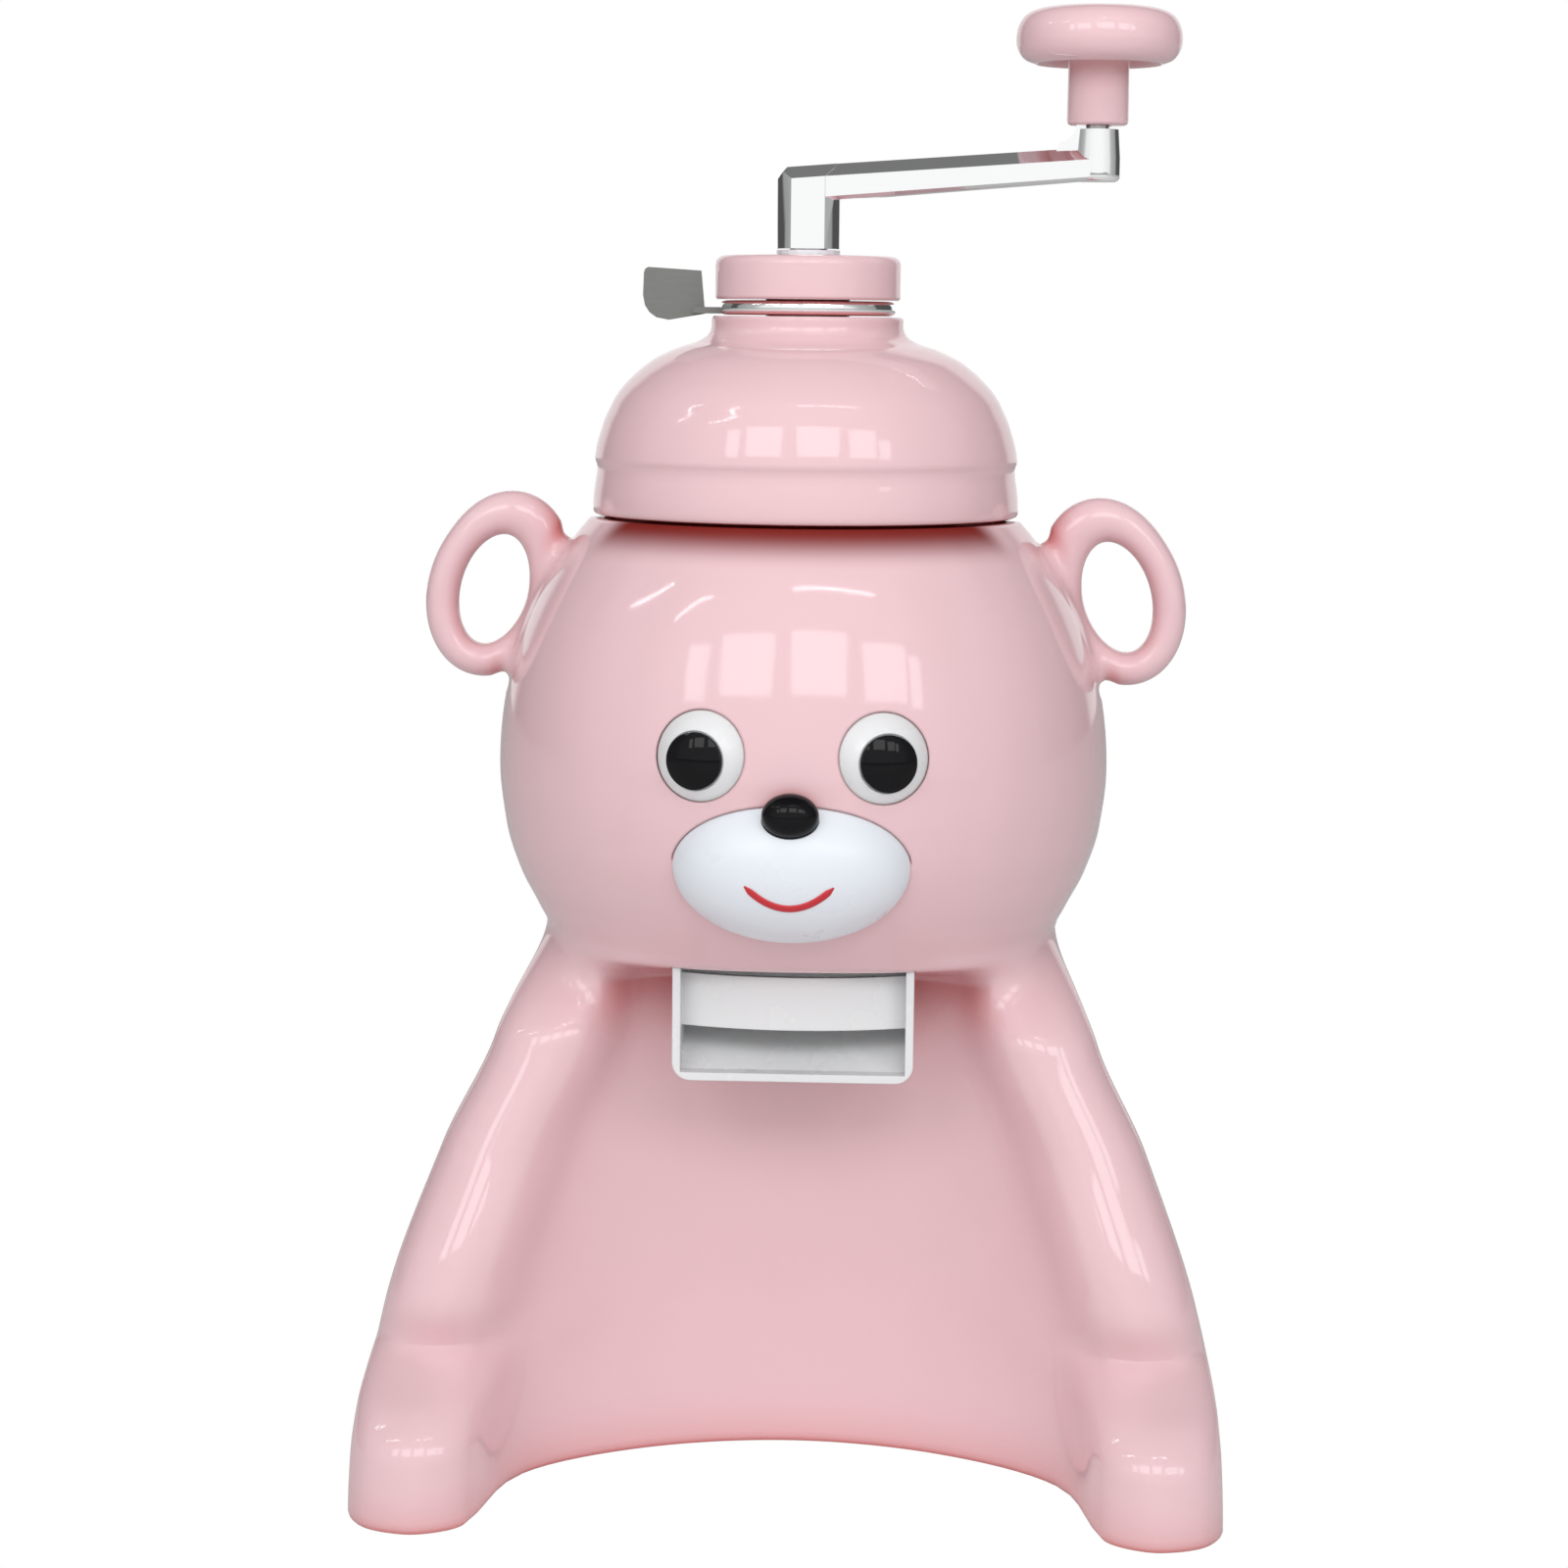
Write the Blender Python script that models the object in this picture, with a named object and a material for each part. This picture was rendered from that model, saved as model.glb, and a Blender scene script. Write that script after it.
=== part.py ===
"""Hand cranked ice crusher with a bear shaped plastic body.

Frame: +Z up, the face looks along -Y, the crank turns about the Z axis,
and the table is z = 0. Sizes are in millimetres and MM turns them into metres.
"""

import math

import bmesh
import bpy
from mathutils import Vector

MM = 0.001

# Fits
GAP = 0.3
RUN_GAP = 0.5

# Body skin
WALL = 2.5
BODY_BASE = 0.8
HEAD_RADIUS = 77.4
HEAD_CENTRE_Z = 177.0
HEAD_TOP_Z = 240.3
HEAD_TOP_RADIUS = HEAD_RADIUS - 22.8
WAIST_Z = 135.5
WAIST_RADIUS = HEAD_RADIUS - 12.4
BAY_WALL_Y = -13.0
BAY_WALL_RADIUS = 87.5
BAY_CEILING_LOW = 124.5
BAY_CEILING_HIGH = 133.5
REAR_BASE_Y = 90.0
SIDE_SHARE = 0.93
FOOT_X = 90.2
FOOT_RADIUS = 15.8
FOOT_FRONT = 90.0
PAW_X = 85.0
PAW_RADIUS = 15.2
PAW_Z = 50.0
PAW_FRONT = 63.0
SHOULDER_X = 60.0
SHOULDER_RADIUS = 14.0
SHOULDER_Z = 120.0
SHOULDER_FRONT = 42.0

# Collar that the lid sits over
COLLAR_RADIUS = HEAD_TOP_RADIUS - 5.3
COLLAR_TOP = 246.0

# Ears, each a loop handle
EAR_X = HEAD_RADIUS + 2.2
EAR_Z = 221.0
EAR_TILT = 16.0
EAR_HOLE_HALF = 8.6
EAR_HOLE_HALF_TALL = 14.4
EAR_BAND = 8.4
EAR_BAND_TOP = 12.0
EAR_DEPTH = 10.5

# Deck, ice chamber and blade
DECK_TOP = 134.0
DECK_THICK = 6.0
CHAMBER_RADIUS = COLLAR_RADIUS - 5.3
CHAMBER_WALL = 2.4
CHAMBER_FLANGE = 2.0
CHAMBER_SIDES = 32
PLATE_THICK = 2.0
SLOT_Y = 10.2 - CHAMBER_RADIUS
SLOT_DEEP = 8.4
SLOT_EDGE = 1.1
BLADE_THICK = 1.2
BLADE_WIDE = 13.0

# Outlet chute
CHUTE_WIDE = 59.2
CHUTE_FRONT = -CHAMBER_RADIUS - 6.0
CHUTE_REAR = 19.0 - CHAMBER_RADIUS
CHUTE_BOTTOM = 104.5
CHUTE_FLOOR_REAR = 119.0
CHUTE_WALL = 2.0
CHUTE_CORNER = 4.5
CHUTE_PLATE_LOW = 117.3
CHUTE_PLATE_HIGH = 130.5
CHUTE_BOW = 5.5

# Face
EYE_X = 22.0
EYE_Z = 187.0
EYE_RADIUS = 13.0
EYE_SHOWN_RADIUS = 10.0
EYE_PIN_RADIUS = 1.5
EYE_TAIL = 14.3
PUPIL_RADIUS = 6.8
PUPIL_RISE = 0.8
MUZZLE_HALF_WIDE = 29.0
MUZZLE_HALF_TALL = 19.0
MUZZLE_Z = 161.3
MUZZLE_FRONT = -HEAD_RADIUS - 7.1
MUZZLE_BACK = 7.4 - HEAD_RADIUS
MUZZLE_CENTRE_Y = 11.4 - HEAD_RADIUS
MUZZLE_DEEP = MUZZLE_CENTRE_Y - MUZZLE_FRONT
NOSE_HALF_WIDE = 6.8
NOSE_HALF_TALL = 5.4
NOSE_HALF_DEEP = 5.0
NOSE_Z = 174.8
NOSE_PROUD = 1.5

# Lid, neck, release lever and cap
LID_RADIUS = HEAD_TOP_RADIUS - 0.4
LID_BASE = 241.0
LID_WALL = 2.5
NECK_RADIUS = 24.3
NECK_TOP = 290.9
RING_RADIUS = 22.4
RING_THICK = 3.6
CAP_RADIUS = 23.4
CAP_TOP = 306.0
TAB_NEAR = 27.0
TAB_FAR = 41.7
TAB_TOP = 303.0
TAB_THICK = 1.6

# Crank, shaft, pusher and knob
SHAFT_RADIUS = 5.2
THREAD_DEPTH = 0.9
THREAD_PITCH = 5.0
HUB_RADIUS = 8.75
HUB_TOP = 329.0
CRANK_REACH = 72.0
ARM_TALL = 9.0
ARM_DEEP = 12.0
POST_RADIUS = 6.0
POST_TOP = 338.0
POST_TALL = 13.0
PIN_FLOOR = 3.5
WASHER_THICK = 1.2
WASHER_RADIUS = 8.0
PUSHER_RADIUS = CHAMBER_RADIUS - 14.5
PUSHER_THICK = 3.5
SPIKE_TALL = 4.5
SPIKE_COUNT = 10
KNOB_RADIUS = 20.7
KNOB_TALL = 30.0
KNOB_TOP = POST_TOP + KNOB_TALL
KNOB_DISC = 14.0
SLEEVE_RADIUS = 7.7
KNOB_PIN_RADIUS = 3.0

# Screws and rubber feet
SCREW_RADIUS = 1.5
SCREW_HEAD_RADIUS = 3.2
SCREW_HEAD_TALL = 2.4
BOSS_RADIUS = 5.2
BOSS_REACH = 70.0
BOSS_HIGH = (HEAD_RADIUS - 22.4, HEAD_CENTRE_Z - 15.0)
BOSS_LOW = (60.0, 62.0)
SCREW_LONG = 22.0
SCREW_SEAT = 10.0
FOOT_PAD_TALL = 7.0
REAR_PAD_RADIUS = 7.5

PINK = (0.80, 0.53, 0.58, 1.0)
WHITE = (0.82, 0.83, 0.85, 1.0)
MILKY = (0.78, 0.80, 0.82, 1.0)
BLACK = (0.012, 0.011, 0.013, 1.0)
CHROME = (0.80, 0.81, 0.82, 1.0)
STEEL = (0.55, 0.55, 0.54, 1.0)
RUBBER = (0.10, 0.09, 0.09, 1.0)
BRASS = (0.72, 0.53, 0.25, 1.0)


def clear_scene():
    for thing in list(bpy.data.objects):
        bpy.data.objects.remove(thing, do_unlink=True)


def material(name, colour, roughness, metallic=0.0):
    """A plain shader with one colour, roughness and metallic value."""
    made = bpy.data.materials.new(name)
    made.use_nodes = True
    shader = made.node_tree.nodes["Principled BSDF"]
    shader.inputs["Base Color"].default_value = colour
    shader.inputs["Roughness"].default_value = roughness
    shader.inputs["Metallic"].default_value = metallic
    made.diffuse_color = colour
    return made


def add_object(name, points, faces, centre=(0, 0, 0)):
    """An object from points in millimetres, its origin at centre."""
    mesh = bpy.data.meshes.new(name)
    places = [tuple((Vector(p) - Vector(centre)) * MM) for p in points]
    mesh.from_pydata(places, [], faces)
    made = bpy.data.objects.new(name, mesh)
    made.location = Vector(centre) * MM
    bpy.context.scene.collection.objects.link(made)
    work = bmesh.new()
    work.from_mesh(mesh)
    bmesh.ops.recalc_face_normals(work, faces=work.faces)
    work.to_mesh(mesh)
    work.free()
    return made


def finish(thing, look, smooth=True, angle=35.0):
    """Give a piece its material and its shading."""
    thing.data.materials.clear()
    thing.data.materials.append(look)
    if smooth:
        thing.data.shade_smooth()
        thing.data.set_sharp_from_angle(angle=math.radians(angle))
    return thing


def tool(thing):
    """Mark a solid as a cutter, which isn't a piece of the object."""
    thing.hide_render = True
    thing.display_type = "WIRE"
    return thing


def boolean(thing, other, operation="DIFFERENCE"):
    step = thing.modifiers.new(operation.title(), "BOOLEAN")
    step.operation = operation
    step.solver = "EXACT"
    step.object = tool(other)
    return thing


def grid_faces(rows, columns, first=0):
    """Quads between closed rings of points, ring after ring."""
    faces = []
    for r in range(rows - 1):
        for c in range(columns):
            n = (c + 1) % columns
            low = first + r * columns
            faces.append((low + c, low + n, low + columns + n, low + columns + c))
    return faces


def loft(name, rings, centre=(0, 0, 0)):
    """A closed solid through rings of as many points each, with flat ends."""
    count = len(rings[0])
    points = [p for ring in rings for p in ring]
    faces = grid_faces(len(rings), count)
    faces.append(tuple(reversed(range(count))))
    faces.append(tuple(range(len(points) - count, len(points))))
    return add_object(name, points, faces, centre)


def triangulated(thing, merge_angle=0.0):
    """The piece with every face a triangle, so that each face is flat."""
    work = bmesh.new()
    work.from_mesh(thing.data)
    if merge_angle:
        bmesh.ops.dissolve_limit(
            work, angle_limit=math.radians(merge_angle), verts=work.verts, edges=work.edges
        )
    bmesh.ops.triangulate(work, faces=work.faces, quad_method="SHORT_EDGE")
    work.to_mesh(thing.data)
    work.free()
    return thing


def turned(name, profile, segments, centre=(0, 0, 0)):
    """A solid turned about Z from (radius, height) pairs.

    A profile that starts and ends on the axis is closed there. Any other
    profile is a closed loop and leaves a bore.
    """
    on_axis = profile[0][0] == 0 and profile[-1][0] == 0
    body = profile[1:-1] if on_axis else profile
    cx, cy, cz = centre
    points = []
    for radius, height in body:
        for k in range(segments):
            turn = 2 * math.pi * k / segments
            points.append((cx + radius * math.cos(turn), cy + radius * math.sin(turn), cz + height))
    faces = grid_faces(len(body), segments)
    last = (len(body) - 1) * segments
    if on_axis:
        points += [(cx, cy, cz + profile[0][1]), (cx, cy, cz + profile[-1][1])]
        for k in range(segments):
            n = (k + 1) % segments
            faces.append((len(points) - 2, n, k))
            faces.append((len(points) - 1, last + k, last + n))
    else:
        for k in range(segments):
            n = (k + 1) % segments
            faces.append((last + k, last + n, n, k))
    return add_object(name, points, faces, centre)


def rod(name, start, end, radius, segments=16, centre=None):
    """A round bar from start to end."""
    start, end = Vector(start), Vector(end)
    turn = (end - start).to_track_quat("Z", "Y")
    rings = []
    for place in (start, end):
        ring = []
        for k in range(segments):
            angle = 2 * math.pi * k / segments
            ring.append(place + turn @ Vector((radius * math.cos(angle), radius * math.sin(angle), 0)))
        rings.append(ring)
    return loft(name, rings, start if centre is None else centre)


def block(name, low, high, centre=None):
    """A box between two corners."""
    rings = []
    for z in (low[2], high[2]):
        rings.append([(low[0], low[1], z), (high[0], low[1], z), (high[0], high[1], z), (low[0], high[1], z)])
    return loft(name, rings, low if centre is None else centre)


def egg(name, centre, half, rings=12, segments=24):
    """An ellipsoid with the given half sizes."""
    profile = []
    for k in range(rings + 1):
        angle = math.pi * k / rings
        profile.append((0 if k in (0, rings) else math.sin(angle), -math.cos(angle)))
    made = turned(name, profile, segments, (0, 0, 0))
    for vertex in made.data.vertices:
        vertex.co = Vector((vertex.co[i] * half[i] for i in range(3)))
    made.location = Vector(centre) * MM
    return made


def arc(centre, radius, start, end, count):
    """Points (radius, height) along an arc, with angles in degrees."""
    made = []
    for k in range(count + 1):
        angle = math.radians(start + (end - start) * k / count)
        made.append((centre[0] + radius * math.cos(angle), centre[1] + radius * math.sin(angle)))
    return made


def through(stations, z):
    """Smooth value at height z through (height, value) stations."""
    heights = [s[0] for s in stations]
    values = [s[1] for s in stations]
    if z <= heights[0]:
        return values[0]
    if z >= heights[-1]:
        return values[-1]
    k = max(i for i in range(len(heights) - 1) if heights[i] <= z)

    def slope(i):
        if i in (0, len(heights) - 1):
            return 0.0
        before = (values[i] - values[i - 1]) / (heights[i] - heights[i - 1])
        after = (values[i + 1] - values[i]) / (heights[i + 1] - heights[i])
        return 0.0 if before * after <= 0 else 2 * before * after / (before + after)

    wide = heights[k + 1] - heights[k]
    t = (z - heights[k]) / wide
    return (
        (2 * t**3 - 3 * t**2 + 1) * values[k]
        + (t**3 - 2 * t**2 + t) * wide * slope(k)
        + (-2 * t**3 + 3 * t**2) * values[k + 1]
        + (t**3 - t**2) * wide * slope(k + 1)
    )


def step_between(low, high, value):
    """0 below low, 1 above high, and smooth between."""
    t = min(1.0, max(0.0, (value - low) / (high - low)))
    return t * t * (3 - 2 * t)


def head_radius(z):
    """Half width of the head: a ball that narrows to the waist and the collar."""
    if z >= HEAD_CENTRE_Z:
        tall = (HEAD_TOP_Z - HEAD_CENTRE_Z) / math.sqrt(1 - (HEAD_TOP_RADIUS / HEAD_RADIUS) ** 2)
        return HEAD_RADIUS * math.sqrt(max(0.0, 1 - ((z - HEAD_CENTRE_Z) / tall) ** 2))
    return through(
        (
            (WAIST_Z, WAIST_RADIUS),
            (WAIST_Z + 6.0, WAIST_RADIUS + 2.6),
            (WAIST_Z + 15.0, WAIST_RADIUS + 7.2),
            (HEAD_CENTRE_Z - 15.0, HEAD_RADIUS - 1.6),
            (HEAD_CENTRE_Z, HEAD_RADIUS),
        ),
        z,
    )


def chin_radius(z):
    """Depth of the head's front, which runs on round under the chin."""
    drop = (HEAD_CENTRE_Z - z) / (HEAD_CENTRE_Z - BAY_CEILING_HIGH + 20.0)
    return head_radius(z) if drop <= 0 else HEAD_RADIUS * math.sqrt(max(0.05, 1 - drop**2))


def limb(z):
    """Centre x, centre y and radius of the arm, paw and foot at height z."""
    x = through(((0, FOOT_X), (28, FOOT_X - 1.0), (PAW_Z, PAW_X), (85, 73.5), (SHOULDER_Z, SHOULDER_X)), z)
    radius = through(((0, FOOT_RADIUS), (PAW_Z, PAW_RADIUS), (SHOULDER_Z, SHOULDER_RADIUS)), z)
    front = through(
        (
            (0, FOOT_FRONT),
            (18, FOOT_FRONT - 1.5),
            (27, FOOT_FRONT - 8.0),
            (34, PAW_FRONT + 6.0),
            (39, PAW_FRONT - 2.2),
            (PAW_Z - 1.0, PAW_FRONT),
            (PAW_Z + 7.0, PAW_FRONT - 1.2),
            (85, 51.0),
            (SHOULDER_Z, SHOULDER_FRONT),
            (WAIST_Z, SHOULDER_FRONT - 3.0),
        ),
        z,
    )
    return x, radius - front, radius


def rear_depth(z):
    """How far the back reaches at height z."""
    if z >= HEAD_CENTRE_Z:
        return head_radius(z)
    return through(
        (
            (0, REAR_BASE_Y),
            (25, REAR_BASE_Y - 4.0),
            (85, 70.0),
            (WAIST_Z - 8.0, WAIST_RADIUS - 4.5),
            (WAIST_Z + 1.0, WAIST_RADIUS - 5.0),
            (WAIST_Z + 15.0, WAIST_RADIUS + 4.0),
            (HEAD_CENTRE_Z - 15.0, HEAD_RADIUS - 2.4),
            (HEAD_CENTRE_Z, HEAD_RADIUS),
        ),
        z,
    )


HEAD_ANGLES = (0, 21, 38, 50, 60, 69, 77, 84, 90, 135, 180)
FINE_COUNTS = (3, 2, 1, 1, 2, 2, 1, 1, 3, 4)
COARSE_COUNTS = (2, 2, 1, 1, 1, 1, 1, 1, 2, 2)


def section_controls(z):
    """Control points of the right half of the body's plan section at z."""
    x, y, radius = limb(z)
    middle = BAY_WALL_Y - BAY_WALL_RADIUS
    steep = step_between(BAY_CEILING_LOW, BAY_CEILING_HIGH, z)
    soft = step_between(SHOULDER_Z - 8.0, WAIST_Z + 3.0, z)

    def on_wall(wide):
        return (wide, middle + math.sqrt(BAY_WALL_RADIUS**2 - wide**2))

    def on_limb(angle):
        turn = math.radians(angle)
        return (x + radius * math.cos(turn), y + radius * math.sin(turn))

    side = (x + radius) * SIDE_SHARE
    rear = rear_depth(z)
    low = [
        on_wall(0.0),
        on_wall(0.5 * (x - radius)),
        on_wall(x - 1.5 * radius),
        on_limb(208),
        on_limb(236),
        on_limb(270),
        on_limb(315),
        on_limb(358),
        (side, 0.0),
        (0.74 * side, 0.74 * rear),
        (0.0, rear),
    ]
    wide, deep = head_radius(z), chin_radius(z)
    high = []
    for angle in HEAD_ANGLES:
        turn = math.radians(angle)
        along = deep if angle < 90 else rear
        blend = math.sin(turn) ** 2 if angle < 90 else 0.0
        along = along + (wide - along) * blend
        high.append((wide * math.sin(turn), -along * math.cos(turn)))
    shares = [steep] * 3 + [0.5 * (steep + soft)] + [soft] * 7
    points = []
    for share, a, b in zip(shares, low, high):
        points.append(Vector((a[0] + (b[0] - a[0]) * share, a[1] + (b[1] - a[1]) * share)))
    return points


def closed_section(z, samples):
    """The whole plan section at z as a closed smooth outline."""
    right = section_controls(z)
    ring = right + [Vector((-p.x, p.y)) for p in reversed(right[1:-1])]
    counts = list(samples) + list(reversed(samples))
    outline = []
    for k in range(len(ring)):
        before, start, end, after = (ring[(k + i) % len(ring)] for i in (-1, 0, 1, 2))
        span = (end - start).length
        first = (end - before) * (span / ((start - before).length + span))
        second = (after - start) * (span / ((after - end).length + span))
        for i in range(counts[k]):
            t = i / counts[k]
            outline.append(
                (2 * t**3 - 3 * t**2 + 1) * start
                + (t**3 - 2 * t**2 + t) * first
                + (-2 * t**3 + 3 * t**2) * end
                + (t**3 - t**2) * second
            )
    return outline


def skin_rings(heights, samples, inset=0.0):
    """Rings of the body's skin, moved inwards along its normal by inset."""
    rings = []
    small = 0.4
    for z in heights:
        here = closed_section(z, samples)
        above = closed_section(z + small, samples)
        below = closed_section(z - small, samples)
        count = len(here)
        ring = []
        for k in range(count):
            ahead = here[(k + 1) % count] - here[k - 1]
            round_way = Vector((ahead.x, ahead.y, 0)).normalized()
            rise = above[k] - below[k]
            up_way = Vector((rise.x, rise.y, 2 * small)).normalized()
            inward = up_way.cross(round_way).normalized()
            place = Vector((here[k].x, here[k].y, z))
            ring.append(place + inward * inset)
        rings.append(ring)
    return rings


def circle_ring(radius, z, samples):
    """A round ring whose points match the columns of a plan section."""
    angles = []
    for k, count in enumerate(samples):
        step = HEAD_ANGLES[k + 1] - HEAD_ANGLES[k]
        angles += [HEAD_ANGLES[k] + step * i / count for i in range(count)]
    angles += [180.0] + [360.0 - a for a in reversed(angles[1:])]
    turns = [math.radians(a) for a in angles]
    return [Vector((radius * math.sin(t), -radius * math.cos(t), z)) for t in turns]


OUTER_HEIGHTS = (
    BODY_BASE, 16, 26, 33, 39, 44, 50, 58, 76, 94, 108, 117, 123, 126, 128, 129.5, 131, 133,
    136.5, 142, 150, 162, 177, 192, 207, 220, 229, 236,
)
INNER_HEIGHTS = (
    BODY_BASE + WALL, 22, 32, 40, 50, 75, 104, 118, 125, 128.3, 131.6,
    136, 144, 158, 177, 196, 214, 228,
)


def body_outside():
    """The outside of the body up to the collar, as one solid."""
    rings = skin_rings(OUTER_HEIGHTS, FINE_COUNTS)
    top = (
        (HEAD_TOP_RADIUS + 0.5, HEAD_TOP_Z - 0.6),
        (HEAD_TOP_RADIUS - 0.6, HEAD_TOP_Z),
        (COLLAR_RADIUS, HEAD_TOP_Z),
        (COLLAR_RADIUS, COLLAR_TOP),
    )
    rings += [circle_ring(radius, z, FINE_COUNTS) for radius, z in top]
    return triangulated(loft("body_outside", rings, (0, 0, 0)))


def body_hollow():
    """The space inside the skin, open below and through the collar."""
    rings = skin_rings(INNER_HEIGHTS, COARSE_COUNTS, WALL)
    below = [Vector((p.x, p.y, -5.0)) for p in rings[0]]
    bore = CHAMBER_RADIUS + CHAMBER_WALL - 1.0
    ceiling = HEAD_TOP_Z - WALL
    top = ((HEAD_TOP_RADIUS - 0.5, ceiling - 1.5), (bore + 1.0, ceiling - 0.8), (bore, ceiling + 1.0))
    rings = [below] + rings
    rings += [circle_ring(radius, z, COARSE_COUNTS) for radius, z in top]
    rings.append(circle_ring(bore, COLLAR_TOP + 5.0, COARSE_COUNTS))
    return triangulated(loft("body_hollow", rings, (0, 0, 0)))


def ear_ring(side, name):
    """One loop handle: a rounded band round a tilted oval hole."""
    around, about = 24, 8
    lean = math.radians(EAR_TILT)
    rings = []
    for i in range(around):
        turn = 2 * math.pi * i / around
        top = max(0.0, math.sin(turn + 0.35)) ** 2
        band = EAR_BAND + (EAR_BAND_TOP - EAR_BAND) * top
        wide = EAR_HOLE_HALF + band / 2
        tall = EAR_HOLE_HALF_TALL + band / 2
        out = Vector((tall * math.cos(turn), wide * math.sin(turn))).normalized()
        middle = Vector((wide * math.cos(turn), tall * math.sin(turn)))
        ring = []
        for j in range(about):
            roll = 2 * math.pi * (j + 0.5) / about
            flat = middle + out * (band / 2 * math.cos(roll))
            x = flat.x * math.cos(lean) + flat.y * math.sin(lean)
            z = -flat.x * math.sin(lean) + flat.y * math.cos(lean)
            ring.append((side * (EAR_X - x), EAR_DEPTH / 2 * math.sin(roll), EAR_Z + z))
        rings.append(ring)
    points = [p for ring in rings for p in ring]
    faces = []
    for i in range(around):
        for j in range(about):
            a, b = i * about + j, i * about + (j + 1) % about
            c, d = (b + about) % len(points), (a + about) % len(points)
            faces.append((a, b, c, d))
    return triangulated(add_object(name, points, faces))


def boss_places():
    """Where the two halves of the body are screwed together."""
    for side in (-1, 1):
        for x, z in (BOSS_HIGH, BOSS_LOW):
            yield side * x, z


def front_foot_places():
    """Centre and radius of the rubber plug in each front foot."""
    x, y, radius = limb(0)
    for side in (-1, 1):
        yield side * x, y, radius - WALL - 0.7


def rear_foot_places():
    for side in (-1, 1):
        yield side * (0.70 * SIDE_SHARE * (FOOT_X + FOOT_RADIUS)), 0.66 * REAR_BASE_Y


def eye_places():
    rear = math.sqrt(EYE_RADIUS**2 - EYE_SHOWN_RADIUS**2)
    skin = math.sqrt(head_radius(EYE_Z) ** 2 - EYE_X**2)
    share = 1 - rear / head_radius(EYE_Z)
    for side, word in ((-1, "left"), (1, "right")):
        yield side, word, Vector((side * EYE_X * share, -skin * share, EYE_Z))


def muzzle_solid(name, grow, back):
    """The muzzle's egg, cut flat at its back."""
    half = (MUZZLE_HALF_WIDE + grow, MUZZLE_DEEP + grow, MUZZLE_HALF_TALL + grow)
    made = egg(name, (0, MUZZLE_CENTRE_Y, MUZZLE_Z), half, 12, 24)
    far = 2 * HEAD_RADIUS
    keep = block(name + "_keep", (-far, -far, MUZZLE_Z - far), (far, back, MUZZLE_Z + far))
    return boolean(made, keep, "INTERSECT")


def nose_solid(name, grow=0.0):
    """The nose's egg, set into the muzzle."""
    level = (NOSE_Z - MUZZLE_Z) / MUZZLE_HALF_TALL
    tip = Vector((0, MUZZLE_CENTRE_Y - MUZZLE_DEEP * math.sqrt(1 - level**2) - NOSE_PROUD, NOSE_Z))
    half = (NOSE_HALF_WIDE + grow, NOSE_HALF_DEEP + grow, NOSE_HALF_TALL + grow)
    return egg(name, tip, half, 8, 16)


def inside_features(hollow):
    """Webs, bosses and brackets that are left standing in the hollow."""
    far = 2 * (FOOT_X + FOOT_RADIUS)
    deck = block("deck_web", (-far, -far, DECK_TOP - DECK_THICK), (far, far, DECK_TOP))
    boolean(hollow, deck)
    for k, (x, z) in enumerate(boss_places()):
        boolean(hollow, rod(f"boss_web_{k}", (x, -BOSS_REACH, z), (x, BOSS_REACH, z), BOSS_RADIUS, 12))
    for k, (x, y) in enumerate(rear_foot_places()):
        post = rod(f"foot_web_{k}", (x, y, 2.0), (x, y, 16.0), REAR_PAD_RADIUS + WALL, 18)
        boolean(hollow, post)
    for side, word, place in eye_places():
        for low in (place.z - EYE_RADIUS - 4.0, place.z + EYE_RADIUS + 1.0):
            near, far = sorted((place.x - side * 5.0, place.x + side * 16.0))
            corners = (near, MUZZLE_BACK + 1.0, low), (far, place.y + 5.0, low + 3.0)
            shelf = block(f"eye_shelf_{word}_{low:.0f}", *corners)
            boolean(hollow, shelf)
    return hollow


def shell_half(name, front, outside_mesh, look):
    """One half of the moulded body, parted through the ears."""
    shell = bpy.data.objects.new(name, outside_mesh.copy())
    bpy.context.scene.collection.objects.link(shell)
    far = 2 * (FOOT_X + FOOT_RADIUS)
    if front:
        keep = block(name + "_keep", (-far, -far, -far), (far, -GAP / 2, 2 * far))
    else:
        keep = block(name + "_keep", (-far, GAP / 2, -far), (far, far, 2 * far))
    boolean(shell, keep, "INTERSECT")
    return finish(shell, look, True, 40)


def settled(thing):
    """The piece with its modifiers carried out, and its cutters gone."""
    bpy.context.view_layer.update()
    graph = bpy.context.evaluated_depsgraph_get()
    mesh = bpy.data.meshes.new_from_object(thing.evaluated_get(graph))
    helpers = [step.object for step in thing.modifiers if step.type == "BOOLEAN"]
    thing.modifiers.clear()
    thing.data = mesh
    for helper in helpers:
        bpy.data.objects.remove(helper, do_unlink=True)
    return thing


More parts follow.
